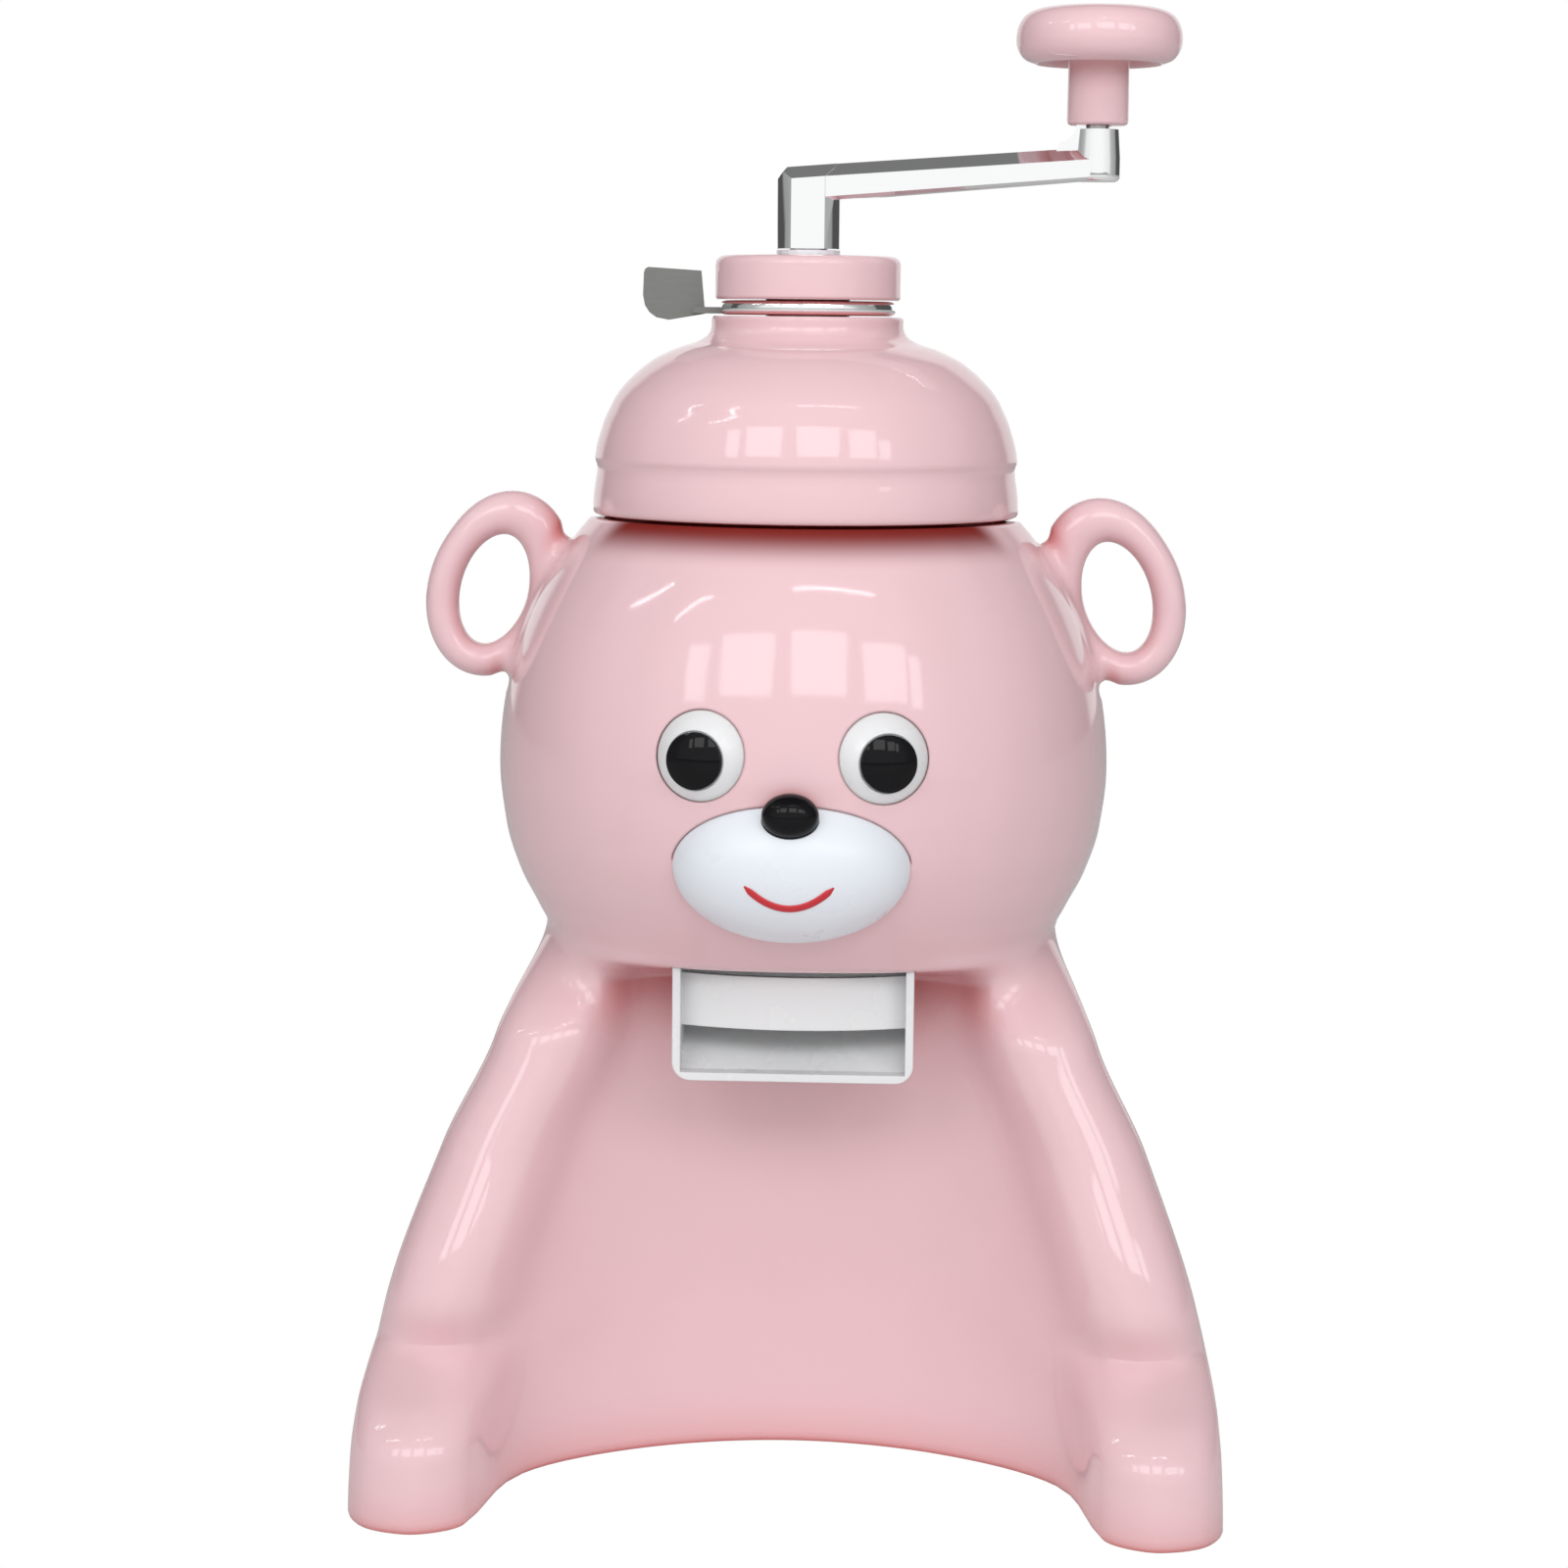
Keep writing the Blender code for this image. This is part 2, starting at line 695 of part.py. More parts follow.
def make_body(looks):
    """The front and rear shells, with ears, deck, bosses and openings."""
    outside = body_outside()
    for side, word in ((-1, "left"), (1, "right")):
        boolean(outside, ear_ring(side, f"ear_{word}"), "UNION")
    boolean(outside, inside_features_done())
    bore = CHAMBER_RADIUS + CHAMBER_WALL + GAP
    low, high = DECK_TOP + 4.0, COLLAR_TOP + 5.0
    boolean(outside, turned("collar_bore", [(0, low), (bore, low), (bore, high), (0, high)], CHAMBER_SIDES))
    chute_hole = block(
        "chute_hole",
        (-CHUTE_WIDE / 2 - GAP, CHUTE_FRONT - GAP, BAY_CEILING_LOW - 8.0),
        (CHUTE_WIDE / 2 + GAP, CHUTE_REAR + GAP, DECK_TOP + 1.0),
    )
    boolean(outside, chute_hole)
    boolean(outside, settled(muzzle_solid("muzzle_hole", GAP, MUZZLE_BACK + GAP)))
    boolean(outside, nose_solid("nose_hole", GAP))
    for side, word, place in eye_places():
        grown = EYE_RADIUS + GAP
        boolean(outside, egg(f"eye_socket_{word}", place, (grown, grown, grown), 10, 22))
        pin = EYE_PIN_RADIUS + GAP
        reach = Vector((0, 0, EYE_RADIUS + 3.0))
        boolean(outside, rod(f"eye_bore_{word}", place - reach, place + reach, pin, 12))
    for k, (x, z) in enumerate(boss_places()):
        tip, seat, far = (x, SCREW_SEAT - SCREW_LONG - 1, z), (x, SCREW_SEAT, z), (x, BOSS_REACH + 20, z)
        boolean(outside, rod(f"screw_bore_{k}", tip, (x, SCREW_SEAT + 2, z), SCREW_RADIUS + GAP, 10))
        boolean(outside, rod(f"screw_well_{k}", seat, far, SCREW_HEAD_RADIUS + GAP, 12))
    for k, (x, y, radius) in enumerate(front_foot_places()):
        top = FOOT_PAD_TALL + GAP
        boolean(outside, rod(f"plug_seat_{k}", (x, y, -5), (x, y, top), radius + GAP, 22))
    for k, (x, y) in enumerate(rear_foot_places()):
        top = 2.0 + FOOT_PAD_TALL / 2
        boolean(outside, rod(f"pad_seat_{k}", (x, y, -5), (x, y, top), REAR_PAD_RADIUS + GAP, 18))
    triangulated(settled(outside), 1.0)
    shell_half("front_shell", True, outside.data, looks["pink"])
    shell_half("rear_shell", False, outside.data, looks["pink"])
    bpy.data.objects.remove(outside, do_unlink=True)


def inside_features_done():
    return settled(inside_features(body_hollow()))


PLATE_LOW = DECK_TOP + GAP
PLATE_HIGH = PLATE_LOW + PLATE_THICK
CHAMBER_LOW = PLATE_HIGH + GAP
FLANGE_LOW = COLLAR_TOP + GAP
SPIKE_TIP = PLATE_HIGH + 1.3
PUSHER_LOW = SPIKE_TIP + SPIKE_TALL
SHAFT_CORE = SHAFT_RADIUS - THREAD_DEPTH / 2 - 0.15
HUB_LOW = CAP_TOP + GAP + WASHER_THICK + GAP
BLADE_SCREW_X = 12.0
BLADE_SCREW_Y = 2.2 - CHAMBER_RADIUS


def make_feet(looks):
    for (x, y, fits), word in zip(front_foot_places(), ("left", "right")):
        low = [(0, 0), (fits - 1.2, 0), (fits, 1.2), (fits, FOOT_PAD_TALL), (0, FOOT_PAD_TALL)]
        pad = turned(f"front_foot_pad_{word}", low, 22, (x, y, 0))
        finish(pad, looks["rubber"])
    for (x, y), word in zip(rear_foot_places(), ("left", "right")):
        tall = 2.0 + FOOT_PAD_TALL / 2 - GAP
        low = [(0, 0), (REAR_PAD_RADIUS - 1.0, 0), (REAR_PAD_RADIUS, 1.0), (REAR_PAD_RADIUS, tall), (0, tall)]
        finish(turned(f"rear_foot_pad_{word}", low, 18, (x, y, 0)), looks["rubber"])


def make_screws(looks):
    for k, (x, z) in enumerate(boss_places(), 1):
        seat = SCREW_SEAT + GAP
        screw = rod(f"shell_screw_{k}", (x, seat, z), (x, seat + SCREW_HEAD_TALL, z), SCREW_HEAD_RADIUS, 12)
        shank = rod(f"shell_shank_{k}", (x, SCREW_SEAT - SCREW_LONG, z), (x, seat + 1, z), SCREW_RADIUS, 10)
        finish(settled(boolean(screw, shank, "UNION")), looks["steel"])


def make_chamber(looks):
    """The ice chamber with ribs that keep the ice from turning."""
    bore, wall = CHAMBER_RADIUS, CHAMBER_RADIUS + CHAMBER_WALL
    top = FLANGE_LOW + CHAMBER_FLANGE
    profile = [
        (bore, CHAMBER_LOW),
        (wall, CHAMBER_LOW),
        (wall, FLANGE_LOW),
        (COLLAR_RADIUS, FLANGE_LOW),
        (COLLAR_RADIUS, top),
        (bore + 0.8, top),
        (bore, top - 0.8),
    ]
    chamber = turned("ice_chamber", profile, CHAMBER_SIDES)
    for k in range(6):
        turn = math.radians(60 * k + 30)
        x, y = bore * math.cos(turn), bore * math.sin(turn)
        rib = rod(f"chamber_rib_{k}", (x, y, CHAMBER_LOW + 4), (x, y, top - 12), 1.4, 8)
        boolean(chamber, rib, "UNION")
    finish(settled(chamber), looks["milky"])


def extruded_x(name, outline, low, high):
    """A side outline of (y, z) points, drawn out along X."""
    rings = [[(x, y, z) for y, z in outline] for x in (low, high)]
    return loft(name, rings)


def extruded_y(name, outline, low, high):
    """A front outline of (x, z) points, drawn out along Y."""
    rings = [[(x, y, z) for x, z in outline] for y in (low, high)]
    return loft(name, rings)


def make_blade(looks):
    """The blade plate with its slot, the bent blade and its two screws."""
    radius = CHAMBER_RADIUS + CHAMBER_WALL - GAP
    profile = [(0, PLATE_LOW), (radius, PLATE_LOW), (radius, PLATE_HIGH), (0, PLATE_HIGH)]
    plate = turned("blade_plate", profile, 36)
    half = SLOT_DEEP / 2
    reach = math.sqrt(radius**2 - (SLOT_Y - half) ** 2) - SLOT_EDGE
    slot = block("blade_slot", (-reach, SLOT_Y - half, PLATE_LOW - 2), (reach, SLOT_Y + half, PLATE_HIGH + 2))
    boolean(plate, slot)
    under = PLATE_LOW - GAP
    tip = PLATE_HIGH + 0.5
    bend = SLOT_Y - half + 1.4
    outline = [
        (BLADE_SCREW_Y - 4.0, under - BLADE_THICK),
        (bend + 0.6, under - BLADE_THICK),
        (bend + 4.2, tip),
        (bend, under),
        (BLADE_SCREW_Y - 4.0, under),
    ]
    blade = extruded_x("blade", outline, 1 - reach, reach - 1)
    for k, side in enumerate((-1, 1), 1):
        x = side * BLADE_SCREW_X
        for piece in (plate, blade):
            low, high = (x, BLADE_SCREW_Y, under - 6), (x, BLADE_SCREW_Y, PLATE_HIGH + 2)
            boolean(piece, rod(f"{piece.name}_bore_{k}", low, high, SCREW_RADIUS + GAP, 12))
        base = under - BLADE_THICK - GAP
        low, high = (x, BLADE_SCREW_Y, base - 1.6), (x, BLADE_SCREW_Y, base)
        screw = rod(f"blade_screw_{k}", low, high, SCREW_HEAD_RADIUS - 0.4, 12)
        low, high = (x, BLADE_SCREW_Y, base - 1), (x, BLADE_SCREW_Y, PLATE_HIGH - 0.2)
        shank = rod(f"blade_shank_{k}", low, high, SCREW_RADIUS, 10)
        finish(settled(boolean(screw, shank, "UNION")), looks["steel"])
    finish(settled(plate), looks["steel"])
    finish(settled(blade), looks["steel"])


def make_chute(looks):
    """The outlet: a U of two sides and a floor, with a plate over its upper front."""
    half = CHUTE_WIDE / 2
    side = [
        (CHUTE_FRONT, CHUTE_BOTTOM),
        (CHUTE_FRONT + 4.0, CHUTE_BOTTOM),
        (CHUTE_REAR, CHUTE_FLOOR_REAR - CHUTE_WALL),
        (CHUTE_REAR, DECK_TOP),
        (CHUTE_FRONT, DECK_TOP),
    ]
    chute = extruded_x("chute", side, -half, half)
    inset = half - CHUTE_CORNER
    front = [(half, DECK_TOP + 2), (-half, DECK_TOP + 2)]
    front += arc((-inset, CHUTE_BOTTOM + CHUTE_CORNER), CHUTE_CORNER, 180, 270, 4)
    front += arc((inset, CHUTE_BOTTOM + CHUTE_CORNER), CHUTE_CORNER, 270, 360, 4)
    boolean(chute, extruded_y("chute_outline", front, CHUTE_FRONT - 5, CHUTE_REAR + 5), "INTERSECT")
    floor, inner = CHUTE_BOTTOM + CHUTE_WALL, half - CHUTE_WALL
    room = [
        (CHUTE_FRONT - 3, floor),
        (CHUTE_FRONT + 4.5, floor),
        (CHUTE_REAR - CHUTE_WALL, CHUTE_FLOOR_REAR),
        (CHUTE_REAR - CHUTE_WALL, DECK_TOP + 2),
        (CHUTE_FRONT - 3, DECK_TOP + 2),
    ]
    boolean(chute, extruded_x("chute_room", room, -inner, inner))
    plate = []
    for lean in (0.0, CHUTE_WALL):
        across = [(inner + CHUTE_WALL / 2) * (k / 5 - 1) for k in range(11)]
        edge = [(x, CHUTE_FRONT + 0.3 + lean + CHUTE_BOW * (x / inner) ** 2) for x in across]
        plate += edge if lean == 0 else reversed(edge)
    rings = [[(x, y, z) for x, y in plate] for z in (CHUTE_PLATE_LOW, CHUTE_PLATE_HIGH)]
    boolean(chute, triangulated(loft("chute_plate", rings)), "UNION")
    finish(settled(chute), looks["white"], angle=30)


def make_eyes(looks):
    """Each eye turns on an upright pin, and a link bar joins their tails."""
    bar_thick = 2.5
    bar_y = None
    for side, word, place in eye_places():
        ahead = Vector((place.x, place.y, 0)).normalized()
        white = egg(f"eye_white_{word}", place, (EYE_RADIUS,) * 3, 10, 20)
        far = 30.0
        low = (place.x - far, place.y - far, place.z - far)
        high = (place.x + far, place.y + 6.0, place.z + far)
        keep = block(f"eye_keep_{word}", low, high)
        boolean(white, keep, "INTERSECT")
        bar_y = place.y + EYE_TAIL
        tail = block(
            f"eye_tail_{word}",
            (place.x - 1.6, place.y + 4.0, place.z - 3.5),
            (place.x + 1.6, bar_y - bar_thick / 2 - 0.9, place.z + 3.5),
        )
        boolean(white, tail, "UNION")
        low, high = (place.x, place.y + 8, place.z), (place.x, bar_y + 1.9, place.z)
        peg = rod(f"eye_peg_{word}", low, high, 1.2, 10)
        boolean(white, peg, "UNION")
        bore = EYE_PIN_RADIUS + GAP
        up = Vector((0, 0, EYE_RADIUS + 2.5))
        boolean(white, rod(f"eye_pin_bore_{word}", place - up * 1.2, place + up * 1.2, bore, 12))
        seat = place + ahead * (EYE_RADIUS - 2.5)
        boolean(white, rod(f"pupil_seat_{word}", seat, seat + ahead * 20, PUPIL_RADIUS + GAP, 24))
        finish(settled(white), looks["white"])
        grown = EYE_RADIUS + PUPIL_RISE
        pupil = egg(f"pupil_{word}", place, (grown,) * 3, 20, 28)
        keep = rod(f"pupil_keep_{word}", seat + ahead * GAP, seat + ahead * 20, PUPIL_RADIUS, 24)
        boolean(pupil, keep, "INTERSECT")
        finish(settled(pupil), looks["black"])
        finish(rod(f"eye_pin_{word}", place - up, place + up, EYE_PIN_RADIUS, 12), looks["steel"])
    half = EYE_X + 5.0
    low, high = bar_y - bar_thick / 2, bar_y + bar_thick / 2
    bar = block("eye_link_bar", (-half, low, EYE_Z - 3.0), (half, high, EYE_Z + 3.0))
    for side, word, place in eye_places():
        near, far = (place.x, low - 2, place.z), (place.x, high + 2, place.z)
        boolean(bar, rod(f"bar_bore_{word}", near, far, 1.7, 12))
    finish(settled(bar), looks["steel"])


def make_muzzle(looks):
    muzzle = settled(muzzle_solid("muzzle", 0.0, MUZZLE_BACK))
    half = (MUZZLE_HALF_WIDE - WALL, MUZZLE_DEEP - WALL, MUZZLE_HALF_TALL - WALL)
    room = egg("muzzle_room", (0, MUZZLE_CENTRE_Y, MUZZLE_Z), half, 8, 16)
    boolean(muzzle, room)
    boolean(muzzle, nose_solid("nose_seat", GAP))
    for side, word, place in eye_places():
        room = (EYE_RADIUS + RUN_GAP,) * 3
        boolean(muzzle, egg(f"eye_room_{word}", place, room, 10, 20))
    finish(settled(muzzle), looks["white"])
    finish(nose_solid("nose"), looks["black"])


def make_lid(looks):
    """The round hat: a dome with a neck, a rim and a ring that seats on the chamber."""
    rim, wall = LID_RADIUS, LID_WALL
    seat = FLANGE_LOW + CHAMBER_FLANGE + GAP
    spigot = 10.9
    dome = LID_BASE + 12.0
    outer = [
        (rim - 0.9, LID_BASE),
        (rim, LID_BASE + 1.2),
        (rim, LID_BASE + 7.0),
        (rim - 0.4, dome + 1.0),
        (rim - 0.7, dome + 4.5),
        (rim - 2.0, dome + 9.5),
        (rim - 4.1, dome + 14.3),
        (rim - 7.3, dome + 19.2),
        (rim - 12.2, dome + 24.2),
        (rim - 19.8, dome + 28.9),
        (NECK_RADIUS + 4.0, dome + 31.2),
        (NECK_RADIUS + 1.0, dome + 32.7),
        (NECK_RADIUS, dome + 34.8),
        (NECK_RADIUS, NECK_TOP),
    ]
    inner = [
        (spigot, NECK_TOP),
        (spigot, NECK_TOP - wall),
        (NECK_RADIUS - wall, NECK_TOP - wall),
        (NECK_RADIUS - wall, dome + 31.6),
        (rim - 22.2, dome + 27.3),
        (rim - 13.8, dome + 22.0),
        (CHAMBER_RADIUS + 1.6, dome + 18.0),
        (CHAMBER_RADIUS + 1.6, seat),
        (CHAMBER_RADIUS + 4.6, seat),
        (CHAMBER_RADIUS + 4.6, dome + 12.4),
        (rim - 3.6, dome + 7.0),
        (rim - wall, dome),
        (rim - wall, LID_BASE),
    ]
    finish(turned("lid", outer + inner, 30), looks["pink"])


def make_neck(looks):
    """Cap, bush, release lever, nut housing and half nut on the lid's neck."""
    ring_low = NECK_TOP + GAP
    ring_high = ring_low + RING_THICK
    cap_low = ring_high + GAP
    spigot = 10.6
    bush = SHAFT_RADIUS + RUN_GAP + 2.2
    profile = [
        (bush + GAP, NECK_TOP - 4.0),
        (spigot, NECK_TOP - 4.0),
        (spigot, cap_low),
        (CAP_RADIUS, cap_low),
        (CAP_RADIUS, CAP_TOP - 2.2),
        (CAP_RADIUS - 0.7, CAP_TOP - 0.7),
        (CAP_RADIUS - 2.2, CAP_TOP),
        (bush + GAP, CAP_TOP),
    ]
    finish(turned("cap", profile, 28), looks["pink"])
    bore = SHAFT_RADIUS + RUN_GAP
    low = NECK_TOP - 4.0
    bush_profile = [(bore, low), (bush, low), (bush, CAP_TOP), (bore, CAP_TOP)]
    finish(turned("neck_bush", bush_profile, 20), looks["brass"])
    ring_profile = [
        (spigot + RUN_GAP, ring_low),
        (RING_RADIUS - 0.8, ring_low),
        (RING_RADIUS, ring_low + 1.0),
        (RING_RADIUS, ring_high - 1.0),
        (RING_RADIUS - 0.8, ring_high),
        (spigot + RUN_GAP, ring_high),
    ]
    lever = turned("release_lever", ring_profile, 28)
    low, high = (-TAB_NEAR - 3, -3.5, ring_low + 0.3), (3 - RING_RADIUS, 3.5, ring_low + 1.9)
    tongue = block("lever_tongue", low, high)
    boolean(lever, tongue, "UNION")
    tab = [
        (-TAB_NEAR, TAB_TOP - 0.8),
        (0.5 - TAB_FAR, TAB_TOP),
        (-TAB_FAR, TAB_TOP - 8.5),
        (2.2 - TAB_FAR, TAB_TOP - 11.8),
        (6.5 - TAB_FAR, TAB_TOP - 13.2),
        (1.0 - TAB_NEAR, ring_low + 0.2),
    ]
    boolean(lever, extruded_y("lever_tab", tab, -TAB_THICK / 2, TAB_THICK / 2), "UNION")
    finish(settled(lever), looks["chrome"])

    wide, neck = 23.0, NECK_RADIUS - LID_WALL - 0.8
    top = NECK_TOP - LID_WALL - GAP
    low = top - 19.5
    housing_profile = [
        (bore + 0.4, low),
        (wide, low),
        (wide, low + 13.0),
        (neck, low + 15.0),
        (neck, top),
        (spigot + RUN_GAP, top),
        (spigot + RUN_GAP, top - 2.4),
        (bore + 0.4, top - 2.4),
    ]
    housing = turned("nut_housing", housing_profile, 20)
    slot = block("nut_slot", (-6.3, 0, low + 4.0), (6.3, 19.5, low + 12.0))
    finish(settled(boolean(housing, slot)), looks["white"])
    nut = block("half_nut", (-6.0, 2.0, low + 4.3), (6.0, 16.5, low + 11.7))
    boolean(nut, rod("nut_bore", (0, 0, low), (0, 0, low + 16), SHAFT_RADIUS + 0.4, 16))
    finish(settled(nut), looks["brass"])


def make_shaft(looks):
    """The feed screw: plain ends and a round thread between them."""
    segments = 8
    thread_low, thread_high = PUSHER_LOW + 40.0, NECK_TOP - 4.0
    rows = int(round((thread_high - thread_low) / (THREAD_PITCH / 3)))
    rings = []

    def round_ring(radius, z):
        turns = [2 * math.pi * k / segments for k in range(segments)]
        return [(radius * math.cos(t), radius * math.sin(t), z) for t in turns]

    rings.append(round_ring(SHAFT_CORE, PUSHER_LOW + 1.5))
    rings.append(round_ring(SHAFT_CORE, thread_low))
    for row in range(1, rows):
        z = thread_low + row * THREAD_PITCH / 3
        ring = []
        for k in range(segments):
            turn = 2 * math.pi * k / segments
            wave = 0.5 + 0.5 * math.cos(2 * math.pi * z / THREAD_PITCH - turn)
            radius = SHAFT_RADIUS - THREAD_DEPTH * wave
            ring.append((radius * math.cos(turn), radius * math.sin(turn), z))
        rings.append(ring)
    rings.append(round_ring(SHAFT_CORE, thread_high))
    rings.append(round_ring(SHAFT_CORE, HUB_LOW + 16.0))
    finish(loft("crank_shaft", rings), looks["steel"])


def make_pusher(looks):
    """The disc that presses and turns the ice, with spikes under it."""
    top = PUSHER_LOW + PUSHER_THICK
    bore = SHAFT_CORE + GAP
    profile = [
        (0, PUSHER_LOW),
        (PUSHER_RADIUS - 1, PUSHER_LOW),
        (PUSHER_RADIUS, PUSHER_LOW + 1),
        (PUSHER_RADIUS, top - 1),
        (PUSHER_RADIUS - 1, top),
        (bore + 5.5, top),
        (bore + 4.0, top + 7.0),
        (bore, top + 7.0),
        (bore, PUSHER_LOW + 1.5 - GAP),
        (0, PUSHER_LOW + 1.5 - GAP),
    ]
    pusher = turned("pusher_disc", profile, 24)
    for k in range(SPIKE_COUNT):
        turn = 2 * math.pi * k / SPIKE_COUNT
        reach = PUSHER_RADIUS * (0.82 if k % 2 else 0.46)
        spike = turned(
            f"spike_{k}",
            [(0, SPIKE_TIP), (0.5, SPIKE_TIP), (2.6, PUSHER_LOW + 0.5), (0, PUSHER_LOW + 0.5)],
            6,
            (reach * math.cos(turn), reach * math.sin(turn), 0),
        )
        boolean(pusher, spike, "UNION")
    finish(settled(pusher), looks["steel"])


def make_crank(looks):
    """The chromed crank: an upright hub, a flat sided arm and the knob's post."""
    hub = turned(
        "crank_arm",
        [
            (0, HUB_LOW),
            (HUB_RADIUS, HUB_LOW),
            (HUB_RADIUS, HUB_TOP - 8.0),
            (HUB_RADIUS - 0.8, HUB_TOP - 4.5),
            (HUB_RADIUS - 3.5, HUB_TOP - 1.5),
            (0, HUB_TOP - 0.5),
        ],
        24,
    )
    rings = []
    rise = POST_TOP - POST_TALL + ARM_TALL / 2 - (HUB_TOP - ARM_TALL / 2 - 0.6)
    for share in (-0.05, 0.1, 1.0):
        x = share * CRANK_REACH
        z = HUB_TOP - ARM_TALL / 2 - 0.6 + rise * max(0.0, share)
        deep, tall = ARM_DEEP / 2 - 0.8 * share, ARM_TALL / 2 - 0.4 * share
        cut = 1.6
        rings.append(
            [
                (x, -deep + cut, z - tall),
                (x, deep - cut, z - tall),
                (x, deep, z - tall + cut),
                (x, deep, z + tall - cut),
                (x, deep - cut, z + tall),
                (x, -deep + cut, z + tall),
                (x, -deep, z + tall - cut),
                (x, -deep, z - tall + cut),
            ]
        )
    boolean(hub, loft("arm_bar", rings), "UNION")
    post_low = POST_TOP - POST_TALL
    post = turned(
        "arm_post",
        [
            (0, post_low),
            (POST_RADIUS - 1.5, post_low),
            (POST_RADIUS, post_low + 1.5),
            (POST_RADIUS, POST_TOP),
            (0, POST_TOP),
        ],
        20,
        (CRANK_REACH, 0, 0),
    )
    boolean(hub, post, "UNION")
    low, high = (0, 0, HUB_LOW - 5), (0, 0, HUB_LOW + 16.0 + GAP)
    boolean(hub, rod("shaft_socket", low, high, SHAFT_CORE + GAP, 14))
    low, high = (CRANK_REACH, 0, post_low + PIN_FLOOR - GAP), (CRANK_REACH, 0, POST_TOP + 5)
    boolean(hub, rod("pin_socket", low, high, KNOB_PIN_RADIUS + GAP, 14))
    finish(settled(hub), looks["chrome"], angle=30)
    inner = SHAFT_RADIUS + RUN_GAP
    low, high = CAP_TOP + GAP, CAP_TOP + GAP + WASHER_THICK
    washer = [(inner, low), (WASHER_RADIUS, low), (WASHER_RADIUS, high), (inner, high)]
    finish(turned("crank_washer", washer, 20), looks["milky"])


def make_knob(looks):
    base = POST_TOP + 1.0
    disc = KNOB_TOP - KNOB_DISC
    bore = KNOB_PIN_RADIUS + 0.4
    ceiling = KNOB_TOP - 6.0
    profile = [
        (0, ceiling),
        (bore, ceiling),
        (bore, base),
        (SLEEVE_RADIUS - 0.9, base),
        (SLEEVE_RADIUS, base + 1.2),
        (SLEEVE_RADIUS, disc - 1.5),
        (SLEEVE_RADIUS + 2.0, disc + 0.9),
        (KNOB_RADIUS - 4.0, disc),
        (KNOB_RADIUS - 1.2, disc + 0.13 * KNOB_DISC),
        (KNOB_RADIUS, disc + 0.38 * KNOB_DISC),
        (KNOB_RADIUS - 0.5, disc + 0.64 * KNOB_DISC),
        (KNOB_RADIUS - 2.4, disc + 0.85 * KNOB_DISC),
        (KNOB_RADIUS - 5.6, disc + 0.97 * KNOB_DISC),
        (0, KNOB_TOP),
    ]
    finish(turned("crank_knob", profile, 24, (CRANK_REACH, 0, 0)), looks["pink"])
    pin_low = POST_TOP - POST_TALL + PIN_FLOOR
    pin = rod("knob_pin", (CRANK_REACH, 0, pin_low), (CRANK_REACH, 0, ceiling - GAP), KNOB_PIN_RADIUS, 14)
    finish(pin, looks["steel"])


def main():
    clear_scene()
    looks = {
        "pink": material("pink_plastic", PINK, 0.22),
        "white": material("white_plastic", WHITE, 0.3),
        "milky": material("milky_plastic", MILKY, 0.35),
        "black": material("black_plastic", BLACK, 0.12),
        "chrome": material("chrome", CHROME, 0.08, 1.0),
        "steel": material("steel", STEEL, 0.3, 1.0),
        "brass": material("brass", BRASS, 0.35, 1.0),
        "rubber": material("rubber", RUBBER, 0.7),
    }
    make_body(looks)
    make_feet(looks)
    make_screws(looks)
    make_chamber(looks)
    make_blade(looks)
    make_chute(looks)
    make_eyes(looks)
    make_muzzle(looks)
    make_lid(looks)
    make_neck(looks)
    make_shaft(looks)
    make_pusher(looks)
    make_crank(looks)
    make_knob(looks)


main()
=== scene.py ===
"""Hand cranked ice crusher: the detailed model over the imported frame."""

import math

import bmesh
import bpy
from mathutils import Matrix, Vector
from mathutils.kdtree import KDTree


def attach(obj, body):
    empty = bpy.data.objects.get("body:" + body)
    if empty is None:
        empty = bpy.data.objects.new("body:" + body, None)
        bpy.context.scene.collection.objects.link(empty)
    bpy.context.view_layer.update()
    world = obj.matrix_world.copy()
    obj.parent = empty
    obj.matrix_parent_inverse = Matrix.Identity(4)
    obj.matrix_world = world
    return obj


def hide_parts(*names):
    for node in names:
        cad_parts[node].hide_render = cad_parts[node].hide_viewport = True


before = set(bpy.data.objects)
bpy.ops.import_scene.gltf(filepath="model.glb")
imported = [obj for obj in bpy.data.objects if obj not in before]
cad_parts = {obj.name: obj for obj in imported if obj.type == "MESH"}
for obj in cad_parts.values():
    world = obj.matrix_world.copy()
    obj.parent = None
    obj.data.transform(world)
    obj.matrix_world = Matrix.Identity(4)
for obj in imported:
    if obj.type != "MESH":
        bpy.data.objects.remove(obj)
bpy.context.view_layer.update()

MM = 0.001

# The named sizes are the part's own, in millimetres.
GAP = 0.3
RUN_GAP = 0.5
WALL = 2.5
BODY_BASE = 0.8
HEAD_RADIUS = 77.4
HEAD_CENTRE_Z = 177.0
HEAD_TOP_Z = 240.3
HEAD_TOP_RADIUS = HEAD_RADIUS - 22.8
WAIST_Z = 135.5
WAIST_RADIUS = HEAD_RADIUS - 12.4
BAY_WALL_Y = -13.0
BAY_WALL_RADIUS = 87.5
BAY_CEILING_LOW = 124.5
BAY_CEILING_HIGH = 133.5
REAR_BASE_Y = 90.0
SIDE_SHARE = 0.93
FOOT_X = 90.2
FOOT_RADIUS = 15.8
FOOT_FRONT = 90.0
PAW_X = 85.0
PAW_RADIUS = 15.2
PAW_Z = 50.0
PAW_FRONT = 63.0
SHOULDER_X = 60.0
SHOULDER_RADIUS = 14.0
SHOULDER_Z = 120.0
SHOULDER_FRONT = 42.0
COLLAR_RADIUS = HEAD_TOP_RADIUS - 5.3
COLLAR_TOP = 246.0
